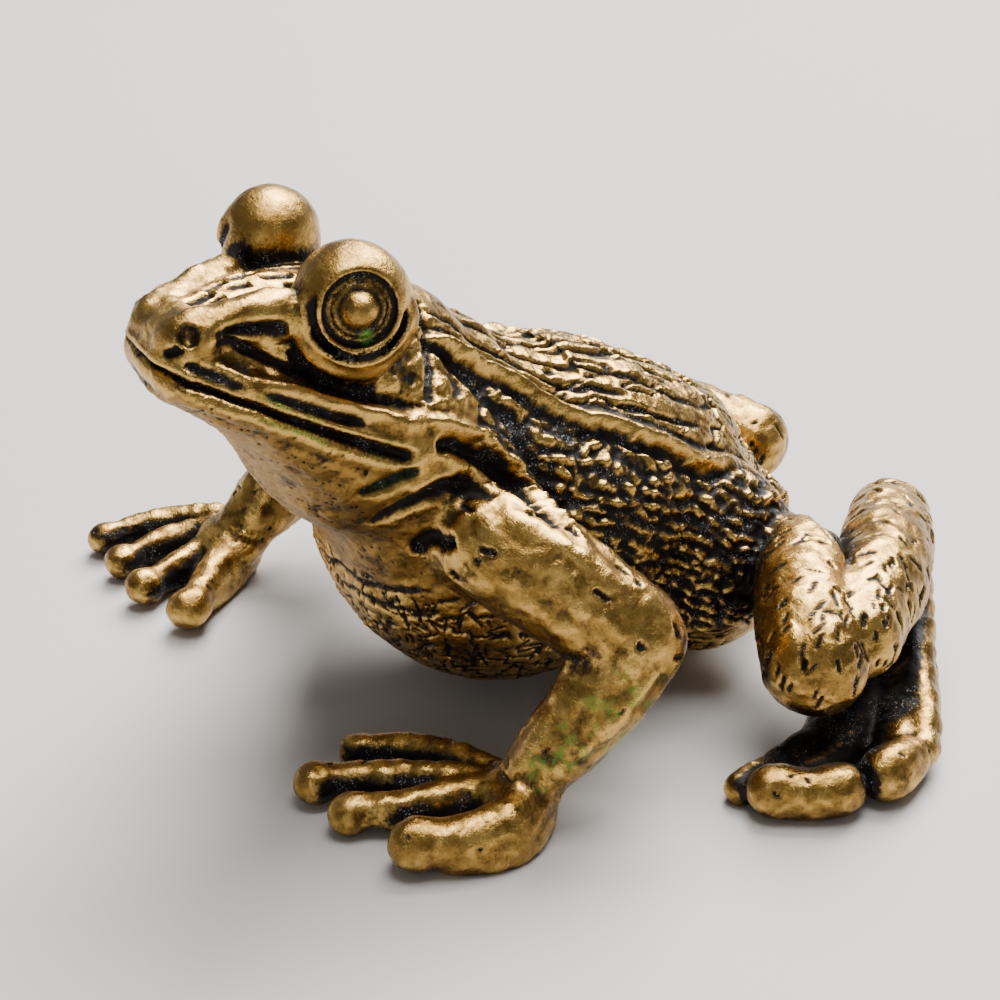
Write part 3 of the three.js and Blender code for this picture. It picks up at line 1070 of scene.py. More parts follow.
class Chaser:
    """Cuts grooves, ridges, pits and textures into the skin."""

    CELL = 1.0  # size of a cell of the finding grid in millimetres
    SPACING = 0.12  # distance between two places of a stroke, in millimetres
    PICK = 0.16  # how near a point of the skin must be to be picked for a stroke
    FACING = 0.12  # the least that a picked point must face the drawing
    REACH = 3.2  # how far a stroke reaches, in half-widths
    BROAD = 0.46  # strokes of this half-width or more shape the skin and hold no black

    def __init__(self, skin: Skin, seed: int) -> None:
        """Sorts the skin's points into a grid, so that near ones are found fast.

        Args:
            skin: The skin.
            seed: The seed of everything that is scattered.
        """
        self.skin = skin
        self.random = np.random.default_rng(seed)
        self.noise = Noise(seed)
        cells = self.cell(skin.points)
        self.size = cells.max(0) + 2
        key = self.key(cells)
        self.order = np.argsort(key, kind="stable")
        self.keys = key[self.order]

    def cell(self, points: np.ndarray) -> np.ndarray:
        """The finding grid's cell for each place."""
        low = self.skin.clay.low
        return np.maximum(np.floor((points - low) / self.CELL).astype(np.int64), 0)

    def key(self, cells: np.ndarray) -> np.ndarray:
        """One number per cell."""
        return (cells[..., 0] * self.size[1] + cells[..., 1]) * self.size[2] + cells[..., 2]

    def near(self, low: np.ndarray, high: np.ndarray) -> np.ndarray:
        """The numbers of the skin's points in the cells from low to high.

        Args:
            low: The lowest corner of a box.
            high: Its highest corner.

        Returns:
            The numbers of the points.
        """
        a = self.cell(low)
        b = np.minimum(self.cell(high), self.size - 1)
        found = []
        for i in range(a[0], b[0] + 1):
            for j in range(a[1], b[1] + 1):
                first = (i * self.size[1] + j) * self.size[2]
                start = np.searchsorted(self.keys, first + a[2])
                stop = np.searchsorted(self.keys, first + b[2] + 1)
                found.append(self.order[start:stop])
        return np.concatenate(found) if found else np.zeros(0, int)

    def drop(self, stroke: Stroke, side: Side, member: np.ndarray) -> np.ndarray:
        """Lays a stroke's path on the skin.

        Args:
            stroke: The stroke.
            side: The side of the body that it is drawn on.
            member: Which points of the skin it may touch.

        Returns:
            Places on the skin along the path.
        """
        flat = np.asarray(stroke.path, float)
        length = np.linalg.norm(np.diff(flat, axis=0), axis=1).sum()
        flat = curve(flat, max(int(length / self.SPACING), 4))
        first, second, along = stroke.view.value
        if first == 0:
            flat[:, 0] *= side.value
        sign = {0: side.value, 1: -1, 2: 1}[along]
        index = np.flatnonzero(member & (self.skin.normals[:, along] * sign > self.FACING))
        points = self.skin.points[index]
        a, b, c = points[:, first], points[:, second], points[:, along] * sign
        places = []
        for u, v in flat:
            gap = (a - u) ** 2 + (b - v) ** 2
            close = gap < self.PICK**2
            if close.any():
                places.append(points[close][np.argmax(c[close])])
            else:
                places.append(points[np.argmin(gap)])
        laid = np.array(places)
        for _ in range(4):
            laid[1:-1] = 0.5 * laid[1:-1] + 0.25 * (laid[:-2] + laid[2:])
        return laid

    def draw(self, stroke: Stroke) -> None:
        """Draws a stroke on each of its sides.

        Args:
            stroke: The stroke.
        """
        for side in stroke.sides:
            names = {*stroke.parts, *(f"{side.name.lower()}_{part}" for part in stroke.parts)}
            wanted = [i for i, region in enumerate(REGIONS) if region.value in names]
            member = np.isin(self.skin.region, wanted)
            laid = self.drop(stroke, side, member)
            self.press_line(laid, stroke, member)

    def press_line(self, laid: np.ndarray, stroke: Stroke, member: np.ndarray | None) -> None:
        """Presses a groove or a ridge into the skin along a laid path.

        Args:
            laid: Places on the skin along the line.
            stroke: Its widths, height and ends.
            member: Which points it may touch, or nothing for all.
        """
        wide = self.REACH * max(stroke.width)
        index = self.near(laid.min(0) - wide, laid.max(0) + wide)
        if member is not None:
            index = index[member[index]]
        points = self.skin.points[index]
        best = np.full(len(index), np.inf)
        at = np.zeros(len(index), int)
        for i, place in enumerate(laid):
            gap = ((points - place) ** 2).sum(1)
            nearer = gap < best
            best[nearer] = gap[nearer]
            at[nearer] = i
        away = np.sqrt(best)
        share = at / max(len(laid) - 1, 1)
        width = stroke.width[0] + share * (stroke.width[1] - stroke.width[0])
        start, stop = (max(part, 1e-3) for part in stroke.taper)
        ends = np.minimum(share / start, (1 - share) / stop)
        fade = np.clip(ends, 0.0, 1.0) ** 0.6
        width = width * (0.55 + 0.45 * fade)
        wobble = 1.0 + 0.25 * self.noise.at(points, 0.7)
        band = np.exp(-((away / (width * wobble)) ** 2)) * fade
        self.skin.relief[index] += stroke.height * band
        if stroke.height < 0 and max(stroke.width) < self.BROAD:
            dark = np.exp(-((away / (1.15 * width)) ** 4)) * fade
            self.skin.patina_and_shade[index] = np.maximum(self.skin.patina_and_shade[index], dark)
        if stroke.bank:
            flank = np.exp(-(((away - 2.0 * width) / (0.75 * width)) ** 2)) * fade
            self.skin.relief[index] -= stroke.bank * flank
            self.skin.patina_and_shade[index] = np.maximum(self.skin.patina_and_shade[index], 0.7 * flank)
        if stroke.green:
            edge = np.exp(-(((away - 0.9 * width) / (0.6 * width)) ** 2)) * fade
            self.skin.green[index] = np.maximum(self.skin.green[index], stroke.green * edge)

    def scatter(
        self,
        zone: np.ndarray,
        count: int,
        length: tuple[float, float],
        width: float,
        height: float,
        grain: np.ndarray | None = None,
        spread: float = 0.3,
    ) -> None:
        """Scatters short strokes over a zone.

        Args:
            zone: A weight per point: where strokes may start.
            count: How many strokes.
            length: The shortest and the longest length.
            width: Half the width of a stroke.
            height: The height of a stroke, below zero for a cut.
            grain: One direction per point, or nothing for random directions.
            spread: How far the directions stray from the grain, in radians.
        """
        skin = self.skin
        weight = zone / zone.sum()
        seeds = self.random.choice(len(weight), count, p=weight)
        for seed in seeds:
            normal = skin.normals[seed]
            if grain is None:
                lean = self.random.normal(size=3)
            else:
                lean = grain[seed] + self.random.normal(size=3) * spread
            lean = lean - normal * (lean @ normal)
            lean /= max(np.linalg.norm(lean), 1e-9)
            half = lean * self.random.uniform(*length) / 2
            size = width * self.random.uniform(0.7, 1.25)
            count_along = max(int(2 * np.linalg.norm(half) / (0.8 * size)), 1) + 2
            share = np.linspace(-1, 1, count_along)[:, None]
            laid = skin.points[seed] + share * half
            depth = height * self.random.uniform(0.6, 1.2)
            mark = Stroke(View.SIDE, (), (size, size), depth, (), taper=(0.2, 0.2))
            self.press_line(laid, mark, None)

    def cells(self, across: np.ndarray, along: np.ndarray) -> tuple[np.ndarray, np.ndarray]:
        """Distances to the nearest and the next point of a jittered grid of points.

        Args:
            across: Each point's place across the rows.
            along: Each point's place along the rows.

        Returns:
            The two distances for each point.
        """
        jitter = self.random.uniform(-0.36, 0.36, (64, 64, 2))
        spot = np.stack([across, along], axis=1)
        cell = np.floor(spot).astype(int)
        first = np.full(len(spot), 9.0)
        second = np.full(len(spot), 9.0)
        for shift in np.ndindex(3, 3):
            where = cell + np.array(shift) - 1
            centre = where + 0.5 + jitter[where[:, 0] % 64, where[:, 1] % 64]
            gap = np.linalg.norm(spot - centre, axis=1)
            second = np.minimum(second, np.maximum(first, gap))
            first = np.minimum(first, gap)
        return first, second


@dataclass
class Chasing:
    """All the drawing and texture on the frog's skin."""

    chaser: Chaser
    head: Head
    fold: Sequence[tuple[float, float]] = (
        (2.9, -5.6),
        (3.0, -3.6),
        (3.2, -1.8),
        (3.7, -0.3),
        (4.5, 2.0),
        (5.0, 4.2),
        (5.0, 6.7),
        (4.3, 9.3),
    )  # x and y of the fold along each side of the back
    flank: np.ndarray = field(init=False)  # how much each point lies on the flanks
    chest: np.ndarray = field(init=False)  # how much each point lies on chest and throat

    def work(self) -> None:
        """Does all the chasing, broad forms first."""
        self.back_and_flank()
        self.limbs()
        self.belly()
        self.feet()
        self.hammer()
        self.mouth()
        self.cheeks()
        self.eyes()
        for stroke in self.head_strokes() + self.neck_strokes() + self.body_strokes():
            self.chaser.draw(stroke)

    def head_strokes(self) -> list[Stroke]:
        """The mouth, the lips, the hollows of the face and the marks on the snout.

        Returns:
            The strokes.
        """
        face = ("head",)
        v = View.SIDE
        ridge = [(-15.3, 20.4), (-13.5, 19.4), (-11.4, 18.5), (-8.9, 17.3), (-7.3, 16.5), (-5.8, 16.0)]
        under_eye = [(-11.3, 19.9), (-10.7, 19.2), (-9.6, 18.3), (-8.0, 17.4), (-6.2, 16.7)]
        above_lip = [(-13.3, 18.95), (-11.8, 18.2), (-10.4, 17.45), (-9.0, 16.8)]
        hollow = [(-14.6, 20.8), (-13.3, 20.2), (-12.0, 19.5), (-10.8, 18.9)]
        strokes = [
            Stroke(v, ridge, (0.3, 0.36), 0.24, face),
            Stroke(v, [(-15.9, 20.2), (-14.8, 19.8), (-13.7, 19.2)], (0.22, 0.2), -0.26, face),
            Stroke(v, above_lip, (0.2, 0.24), -0.26, face),
            Stroke(v, [(-14.8, 21.2), (-13.6, 20.7), (-12.3, 20.0)], (0.2, 0.24), 0.16, face),
            Stroke(v, hollow, (0.16, 0.2), -0.24, face),
            Stroke(v, [(-14.6, 21.2), (-13.0, 20.9), (-11.6, 20.6)], (0.28, 0.45), -0.5, face),
            Stroke(v, [(-16.4, 20.3), (-16.1, 20.6), (-15.7, 20.95)], (0.16, 0.24), -0.3, face),
            Stroke(v, under_eye, (0.5, 0.36), -0.55, face),
            Stroke(v, [(-4.5, 19.3), (-5.2, 18.0), (-6.0, 16.7)], (0.22, 0.22), -0.4, face + ("trunk",)),
        ]
        for path in (
            [(1.1, -14.4), (1.0, -13.8), (0.8, -13.2)],
            [(1.6, -13.8), (1.5, -13.2), (1.4, -12.8)],
            [(0.4, -13.6), (0.2, -13.0), (0.0, -12.4)],
            [(-0.1, -12.1), (-0.4, -11.4), (-0.8, -10.6)],
            [(0.9, -12.5), (0.8, -11.9), (0.7, -11.4)],
            [(-0.9, -10.1), (-0.8, -9.4), (-0.6, -8.6)],
            [(0.3, -10.9), (0.4, -10.2), (0.4, -9.5)],
            [(1.2, -10.2), (1.3, -9.4), (1.2, -8.4)],
        ):
            strokes.append(Stroke(View.TOP, path, (0.17, 0.2), -0.32, face, (Side.LEFT,)))
        return strokes

    def mouth(self) -> None:
        """The mouth line, the lips above it and the roll of the lower jaw."""
        skin = self.chaser.skin
        gap = skin.points - (0.0, self.head.corner[0], self.head.corner[1])
        ahead = -gap[:, 1] * math.cos(self.head.pitch) + gap[:, 2] * math.sin(self.head.pitch)
        above = gap[:, 1] * math.sin(self.head.pitch) + gap[:, 2] * math.cos(self.head.pitch)
        line_at = (0.8, 4.0, 6.5, 8.0, 9.5, 11.0, 12.5)
        line = np.interp(ahead, line_at, (0.15, 0.1, 0.32, 0.46, 0.42, 0.22, 0.05))
        away = above - line + 0.06 * self.chaser.noise.at(skin.points, 1.4)
        face = self.zone("head") * smooth_step(0.7, 1.4, ahead)
        face *= smooth_step(0.93, 0.75, np.abs(skin.normals[:, 2]))
        width = np.interp(ahead, (1.0, 4.0, 9.0, 12.0), (0.26, 0.18, 0.095, 0.11))
        groove = face * np.exp(-((away / width) ** 4))
        skin.relief -= 0.42 * groove
        skin.patina_and_shade = np.maximum(skin.patina_and_shade, groove)
        fade = face * smooth_step(1.2, 3.0, ahead)
        lips = (
            (0.42, 0.17, 0.16),
            (-0.5, 0.3, 0.13),
            (-1.05, 0.16, -0.06),
        )
        for place, wide, height in lips:
            skin.relief += fade * height * np.exp(-(((away - place) / wide) ** 2))
        edge = np.exp(-(((np.abs(away) - 0.34) / 0.08) ** 2)) * smooth_step(9.0, 6.0, ahead)
        edge *= smooth_step(-0.1, 0.3, self.chaser.noise.at(skin.points, 1.3))
        skin.green = np.maximum(skin.green, fade * edge)

    def cheeks(self) -> None:
        """The rough plates behind and below each eye, and painted shade on the chest and throat."""
        skin = self.chaser.skin
        _, y, z = skin.points.T
        rough = self.chaser.noise.at(skin.points + 11.0, 0.5, 3)
        plate = self.zone("head", "trunk") * smooth_step(0.3, 0.5, np.abs(skin.normals[:, 0]))
        plate *= smooth_step(-8.6, -7.6, y) * smooth_step(-2.6, -3.4, y)
        plate *= smooth_step(15.8, 16.6, z + 0.2 * (y + 6)) * smooth_step(20.5, 19.5, z)
        skin.relief += 0.12 * plate * rough
        skin.patina_and_shade = np.maximum(skin.patina_and_shade, 0.75 * plate * smooth_step(0.05, -0.4, rough))
        # Patchy painted shade on the downward-facing chest and throat, added to the black.
        chest = self.chest * smooth_step(0.0, -0.8, rough)
        skin.patina_and_shade = np.maximum(skin.patina_and_shade, 0.5 * chest)

    def eyes(self) -> None:
        """The rings of the eyes: round the pupil, round the iris, and the lower lid."""
        skin = self.chaser.skin
        for side in Side:
            gaze = unit((side.value * self.head.gaze[0], self.head.gaze[1], self.head.gaze[2]))
            centre = self.head.eye_centre(side)
            eye = self.zone(Region.of(side, "eye").value)
            gap = skin.points - centre
            height = gap @ gaze
            off = gap - height[:, None] * gaze
            round_off = np.linalg.norm(off, axis=1)
            low = smooth_step(0.5, -0.3, off[:, 2] + 0.35 * off[:, 1])
            eye = eye * smooth_step(-0.2, 0.4, height)
            rings = (
                (0.86, 0.09, -0.09, 1.0),
                (1.36, 0.09, -0.1, 1.0),
                (1.62, 0.13, 0.08, low),
                (1.84, 0.14, -0.22, low),
                (2.14, 0.16, 0.1, low),
            )
            for place, wide, lift, share in rings:
                band = eye * share * np.exp(-(((round_off - place) / wide) ** 2))
                skin.relief += lift * band
                if lift < 0:
                    skin.patina_and_shade = np.maximum(skin.patina_and_shade, (0.35 + 0.5 * share * (place > 1.6)) * band)
            spot = off - (0.0, 0.2, -1.1)
            skin.green = np.maximum(skin.green, eye * smooth_step(0.5, 0.2, np.linalg.norm(spot, axis=1)))

    def neck_strokes(self) -> list[Stroke]:
        """The ridges and slots between the mouth and the shoulder.

        Returns:
            The strokes.
        """
        v = View.SIDE
        here = ("head", "trunk", "upper_arm")
        ridge = [(-6.4, 16.2), (-5.5, 15.9), (-4.0, 14.9), (-2.9, 13.9), (-2.0, 12.4), (-1.4, 11.2)]
        slot = [(-6.3, 15.2), (-5.4, 15.0), (-4.4, 14.3), (-3.2, 13.2), (-2.4, 12.0)]
        behind = [(-5.0, 19.0), (-4.1, 17.4), (-2.4, 15.2), (-1.4, 12.8), (-0.6, 11.0)]
        collar = [(-8.7, 11.5), (-7.9, 12.3), (-6.8, 12.95), (-5.6, 13.2), (-4.2, 12.9)]
        return [
            Stroke(v, ridge, (0.3, 0.36), 0.34, here),
            Stroke(v, slot, (0.24, 0.4), -0.6, here),
            Stroke(v, behind, (0.4, 0.45), -0.5, here),
            Stroke(v, [(-9.6, 13.6), (-8.4, 13.9), (-7.2, 14.3)], (0.26, 0.26), -0.45, here, green=0.1),
            Stroke(v, [(-5.2, 13.8), (-6.6, 13.8), (-7.5, 13.2)], (0.2, 0.2), 0.16, here),
            Stroke(v, collar, (0.26, 0.4), -0.5, here),
            Stroke(v, [(-6.9, 9.9), (-6.7, 10.7), (-6.2, 11.5)], (0.34, 0.3), -0.45, here),
            Stroke(v, [(-6.3, 9.6), (-6.2, 9.9)], (0.24, 0.2), -0.3, here),
        ]

    def body_strokes(self) -> list[Stroke]:
        """The fold along each side of the back, and lines on the chest.

        Returns:
            The strokes.
        """
        body = ("trunk", "head")
        back = [
            Stroke(View.TOP, self.fold, (0.26, 0.4), 0.42, body, bank=0.22, taper=(0.1, 0.15)),
        ]
        for path in (
            [(1.9, -4.6), (2.0, -2.4), (2.3, -0.4), (3.0, 2.0), (3.4, 4.4)],
            [(1.0, -3.4), (1.0, -1.0), (1.5, 1.4), (2.0, 3.8), (2.6, 6.4), (2.7, 8.6)],
            [(0.2, -2.6), (0.1, 0.4), (0.5, 3.0), (0.9, 5.4), (1.4, 8.0)],
            [(3.9, 3.4), (4.0, 5.4), (3.7, 7.6)],
            [(-0.5, 3.2), (-0.3, 5.6), (0.2, 8.0), (0.6, 10.0)],
        ):
            back.append(Stroke(View.TOP, path, (0.16, 0.2), -0.3, body))
        left = (Side.LEFT,)
        upper = [(-2.5, 6.7), (1.0, 7.1), (3.6, 7.7), (5.4, 8.1)]
        lower = [(-1.0, 6.1), (2.1, 6.5), (3.7, 6.6), (5.2, 6.9)]
        chest = [
            Stroke(View.FRONT, upper, (0.1, 0.14), -0.14, body, left),
            Stroke(View.FRONT, lower, (0.1, 0.12), -0.12, body, left),
        ]
        return back + chest

    def zone(self, *names: str) -> np.ndarray:
        """1 on the points of these regions, else 0."""
        wanted = [i for i, r in enumerate(REGIONS) if any(r.value.endswith(n) for n in names)]
        return np.isin(self.chaser.skin.region, wanted).astype(float)

    def back_and_flank(self) -> None:
        """Long grooves on the back, and rows of rough bumps on the flanks."""
        skin = self.chaser.skin
        x, y, z = skin.points.T
        fold = np.array(self.fold)
        edge = np.interp(y, fold[:, 1], fold[:, 0])
        trunk = self.zone("trunk")
        top = trunk * smooth_step(edge - 0.1, edge - 0.7, np.abs(x))
        top = top * smooth_step(0.1, 0.4, skin.normals[:, 2])
        bend = self.chaser.noise.at(skin.points * (1.0, 0.13, 1.0), 0.85, 2)
        cut = top * smooth_step(0.17, 0.0, np.abs(bend))
        skin.relief -= 0.22 * cut
        skin.patina_and_shade = np.maximum(skin.patina_and_shade, 0.65 * cut)
        cloud = self.chaser.noise.at(skin.points * (1.0, 0.4, 1.0) + 7.0, 0.7, 3)
        skin.patina_and_shade = np.maximum(skin.patina_and_shade, 0.5 * top * smooth_step(0.0, 0.45, cloud))
        skin.relief += 0.08 * top * self.chaser.noise.at(skin.points * (1.0, 0.3, 1.0), 0.9, 3)

        height = np.interp(y, (-6, -2, 2, 6, 10, 14), (17.6, 15.4, 13.3, 11.4, 8.8, 5.0))
        below = (height - z) * 0.9 + 0.35 * self.chaser.noise.at(skin.points, 2.6)
        side = trunk * smooth_step(edge, edge + 0.5, np.abs(x))
        side = side * smooth_step(-0.45, -0.25, skin.normals[:, 2])
        side *= smooth_step(-4.5, -2.0, y + 0.3 * (z - 10))
        rough = self.chaser.noise.at(skin.points, 0.4, 2)
        ragged = 0.3 * self.chaser.noise.at(skin.points + 9.0, 0.7, 2)
        across = below / 0.52 + 40 + ragged
        along = y / 1.0 + 40 + 20 * (x < 0) + 0.5 * self.chaser.noise.at(skin.points + 5.0, 0.9)
        first, second = self.chaser.cells(across, along)
        row = 0.5 + 0.5 * np.cos(2 * math.pi * (across + 0.5))
        lump = 0.6 * smooth_step(0.55, 0.15, first) * smooth_step(0.0, 0.25, second - first) + 0.4 * row
        fine = self.chaser.noise.at(skin.points + 3.0, 0.28)
        skin.relief += side * (0.22 * lump - 0.11 + 0.11 * rough + 0.06 * fine)
        skin.patina_and_shade = np.maximum(skin.patina_and_shade, side * 0.9 * (1 - smooth_step(0.32, 0.68, lump + 0.3 * rough)))
        self.flank = side

    def limbs(self) -> None:
        """Muscle lines, dashes on the hind legs, pits on the arms, patches of painted shade on the limbs'
        sides and green spots on the left forearm.
        """
        skin = self.chaser.skin
        arm = ("upper_arm", "forearm")
        for stroke in (
            Stroke(View.TOP, [(7.6, -4.6), (9.2, -3.2), (10.8, -1.9), (12.2, -0.8)], (0.5, 0.4), 0.22, arm),
            Stroke(View.SIDE, [(-4.6, 10.2), (-3.0, 9.0), (-1.6, 7.9)], (0.5, 0.4), -0.16, arm),
            Stroke(View.SIDE, [(-0.6, 7.0), (-2.2, 5.4), (-4.0, 3.6)], (0.35, 0.3), 0.16, arm),
            Stroke(View.SIDE, [(6.2, 7.4), (6.0, 6.0), (6.4, 4.6)], (0.5, 0.5), -0.12, ("thigh",)),
            Stroke(View.TOP, [(9.4, -4.9), (10.9, -3.5), (12.0, -2.3)], (0.5, 0.36), -0.14, arm),
            Stroke(View.TOP, [(8.2, -2.6), (9.6, -1.3), (11.0, -0.3)], (0.48, 0.36), -0.14, arm),
            Stroke(View.TOP, [(11.6, -4.4), (11.2, -6.2), (10.7, -7.8)], (0.4, 0.4), 0.16, arm),
            Stroke(View.TOP, [(12.6, -3.4), (12.2, -5.2), (11.6, -7.0)], (0.5, 0.4), -0.1, arm),
        ):
            self.chaser.draw(stroke)
        # Patches of painted shade on the sides and undersides of the arms and thighs.
        shade_patches = self.chaser.noise.at(skin.points + 21.0, 1.3, 3)
        dark = self.zone("upper_arm", "forearm", "thigh") * smooth_step(0.15, 0.6, shade_patches)
        dark *= smooth_step(0.75, 0.1, skin.normals[:, 2])
        skin.patina_and_shade = np.maximum(skin.patina_and_shade, 0.55 * dark)
        x, y, _ = skin.points.T
        # Green spots along the outer face of the left forearm.
        spots = smooth_step(0.1, 0.5, self.chaser.noise.at(skin.points, 0.5, 3))
        green_patch = self.zone("forearm") * (x > 0) * spots
        green_patch *= smooth_step(0.9, 0.1, np.abs(x - 12.2 - 0.2 * (y + 5)))
        green_patch *= smooth_step(0.9, 0.3, skin.normals[:, 2])
        skin.green = np.maximum(skin.green, 0.42 * green_patch)
        outer = smooth_step(-0.2, 0.3, skin.normals[:, 2] + 0.5 * np.abs(skin.normals[:, 0]))
        along = np.tile(unit((0.0, 0.35, 0.9)), (len(skin.points), 1))
        self.chaser.scatter(self.zone("shank", "thigh") * outer, 420, (0.4, 1.0), 0.065, -0.15, along, 0.25)
        arm = self.zone("upper_arm") * outer
        grain = np.tile(unit((0.75, 0.45, -0.4)), (len(skin.points), 1))
        grain[:, 0] *= np.sign(skin.points[:, 0])
        self.chaser.scatter(arm, 46, (0.3, 0.9), 0.1, -0.2, grain, 0.25)
        self.chaser.scatter(self.zone("forearm", "foot") * outer, 120, (0.15, 0.5), 0.06, -0.08, None)

    def feet(self) -> None:
        """Darkens the low, upward-facing parts of the feet: patina between the toes, and partly painted
        contact shadow near the floor.
        """
        skin = self.chaser.skin
        foot = self.zone("foot") * smooth_step(0.35, 0.7, skin.normals[:, 2])
        low = foot * smooth_step(1.5, 1.1, skin.points[:, 2])
        skin.patina_and_shade = np.maximum(skin.patina_and_shade, 0.8 * low)

    def belly(self) -> None:
        """Crossing short cuts under the arms, a stipple on chest and throat, and patchy painted shade under
        the belly.
        """
        skin = self.chaser.skin
        _, y, z = skin.points.T
        under = self.zone("trunk") * smooth_step(0.25, -0.1, skin.normals[:, 2])
        hay = under * smooth_step(8.0, 6.8, z) * smooth_step(8.5, 6.5, y)
        self.chaser.scatter(hay, 1500, (0.4, 1.3), 0.06, -0.12, None)
        # Patchy painted shade on the downward-facing belly under the arms.
        painted_belly_shade = hay * smooth_step(-0.3, 0.4, self.chaser.noise.at(skin.points, 1.5, 2))
        skin.patina_and_shade = np.maximum(skin.patina_and_shade, 0.3 * painted_belly_shade)
        chest = self.zone("trunk", "head") * smooth_step(0.1, -0.2, skin.normals[:, 2])
        chest *= smooth_step(7.0, 8.5, z) * smooth_step(-2.0, -5.0, y)
        self.chest = chest
        self.chaser.scatter(chest, 500, (0.05, 0.2), 0.05, -0.05, None)

    def hammer(self) -> None:
        """The unevenness left by modelling and polishing by hand."""
        skin = self.chaser.skin
        dab = self.chaser.noise.at(skin.points + 31.0, 0.9, 1)
        flats = self.zone("upper_arm", "forearm", "thigh", "shank", "head")
        skin.relief += 0.08 * flats * np.abs(dab)
        broad = self.chaser.noise.at(skin.points, 1.7, 2)
        small = self.chaser.noise.at(skin.points + 50.0, 0.45, 2)
        soft = 1.0 - 0.6 * self.zone("eye")
        skin.relief += soft * (0.075 * broad + 0.042 * small)


# ---------------------------------------------------------------- pieces


class Parting:
    """Parts the skin into one closed piece per region, with no seam to be seen."""

    ATTRIBUTES = ("recess", "polish", "green")
    PANELS = (3, 2)  # columns and rows of the unfolded sheet
    EDGE = 0.02  # free share at each side of a panel

    def __init__(self, skin: Skin, bench: Bench) -> None:
        """Keeps the skin and gives every face to a region.

        Args:
            skin: The finished skin.
            bench: The bench that it was made on.
        """
        self.skin = skin
        self.bench = bench
        votes = skin.region[skin.quads]
        same = votes[:, :1] == votes
        second = votes[:, 1:2] == votes
        self.face_region = np.where(same.sum(1) >= second.sum(1), votes[:, 0], votes[:, 1])

    def piece(self, region: Region, material: bpy.types.Material) -> bpy.types.Object | None:
        """Builds one region as a closed mesh.

        Args:
            region: The region.
            material: Its finish.

        Returns:
            The new object.
        """
        skin = self.skin
        quads = skin.quads[self.face_region == REGIONS.index(region)]
        used, index = np.unique(quads, return_inverse=True)
        quads = index.reshape(quads.shape)
        points = skin.points[used]
        rims = self.rims(quads)
        centres = [points[np.unique(rim)].mean(0) for rim in rims]
        caps = []
        for i, rim in enumerate(rims):
            hub = np.full(len(rim), len(points) + i)
            caps.append(np.stack([rim[:, 1], rim[:, 0], hub], axis=1))
        cap_faces = np.vstack(caps) if caps else np.zeros((0, 3), int)
        places = np.vstack([points, *[c[None] for c in centres]]) if centres else points
        mesh = bpy.data.meshes.new(region.value)
        faces = [*quads.tolist(), *cap_faces.tolist()]
        mesh.from_pydata(self.bench.to_frame(places).tolist(), [], faces)
        mesh.polygons.foreach_set("use_smooth", np.ones(len(faces), bool))
        outer = skin.normals[used][quads.reshape(-1)]
        if len(cap_faces):
            corners = places[cap_faces]
            flat = np.cross(corners[:, 1] - corners[:, 0], corners[:, 2] - corners[:, 0])
            flat /= np.maximum(np.linalg.norm(flat, axis=1), 1e-12)[:, None]
            outer = np.vstack([outer, np.repeat(flat, 3, axis=0)])
        mesh.normals_split_custom_set(outer.tolist())
        for name in self.ATTRIBUTES:
            values = getattr(skin, name)[used]
            values = np.concatenate([values, np.ones(len(centres))])
            layer = mesh.attributes.new(name, "FLOAT", "POINT")
            layer.data.foreach_set("value", values.astype(np.float32))
        mesh.materials.append(material)
        mesh.update()
        self.unfold(mesh)
        piece = bpy.data.objects.new(f"cast_{region.value}", mesh)
        bpy.context.scene.collection.objects.link(piece)
        return piece

    @staticmethod
    def unfold(mesh: bpy.types.Mesh) -> None:
        """Lays the faces out in six panels, one for each direction that they face.

        Args:
            mesh: The mesh, which gets the sheet as its map.
        """
        corners = np.empty(len(mesh.loops), np.int32)
        mesh.loops.foreach_get("vertex_index", corners)
        sides = np.empty(len(mesh.polygons), np.int32)
        mesh.polygons.foreach_get("loop_total", sides)
        facing = np.empty(len(mesh.polygons) * 3, np.float32)
        mesh.polygons.foreach_get("normal", facing)
        places = np.empty(len(mesh.vertices) * 3, np.float32)
        mesh.vertices.foreach_get("co", places)
        facing = facing.reshape(-1, 3)
        axis = np.abs(facing).argmax(axis=1)
        panel = 2 * axis + (facing[np.arange(len(axis)), axis] > 0)
        panel = np.repeat(panel, sides)
        spots = places.reshape(-1, 3)[corners]
        sheet = np.zeros((len(corners), 2))
        for i in range(6):
            here = panel == i
            if not here.any():
                continue
            flat = spots[here][:, [a for a in range(3) if a != i // 2]]
            low = flat.min(axis=0)
            width = np.maximum(flat.max(axis=0) - low, 1e-9)
            share = Parting.EDGE + (1 - 2 * Parting.EDGE) * (flat - low) / width
            sheet[here] = (share + (i % 3, i // 3)) / Parting.PANELS
        layer = mesh.uv_layers.new(name="OFBake")
        layer.data.foreach_set("uv", sheet.astype(np.float32).ravel())

    @staticmethod
    def rims(quads: np.ndarray) -> list[np.ndarray]:
        """The open edges of a set of faces, as one list of edges per rim.

        Args:
            quads: The faces.

        Returns:
            For each rim the two points of each of its edges.
        """
        here = np.stack([quads, np.roll(quads, -1, axis=1)], axis=2).reshape(-1, 2)
        size = np.int64(quads.max() + 1)
        forward = here[:, 0] * size + here[:, 1]
        backward = here[:, 1] * size + here[:, 0]
        open_edges = here[~np.isin(forward, backward)]
        leader = {int(v): int(v) for v in np.unique(open_edges)}

        def root(v: int) -> int:
            """Follows the leaders to the first one."""
            while leader[v] != v:
                leader[v] = leader[leader[v]]
                v = leader[v]
            return v

        for a, b in open_edges.tolist():
            leader[root(a)] = root(b)
        groups: dict[int, list] = {}
        for a, b in open_edges.tolist():
            groups.setdefault(root(a), []).append((a, b))
        return [np.array(group) for group in groups.values()]


# ---------------------------------------------------------------- shading


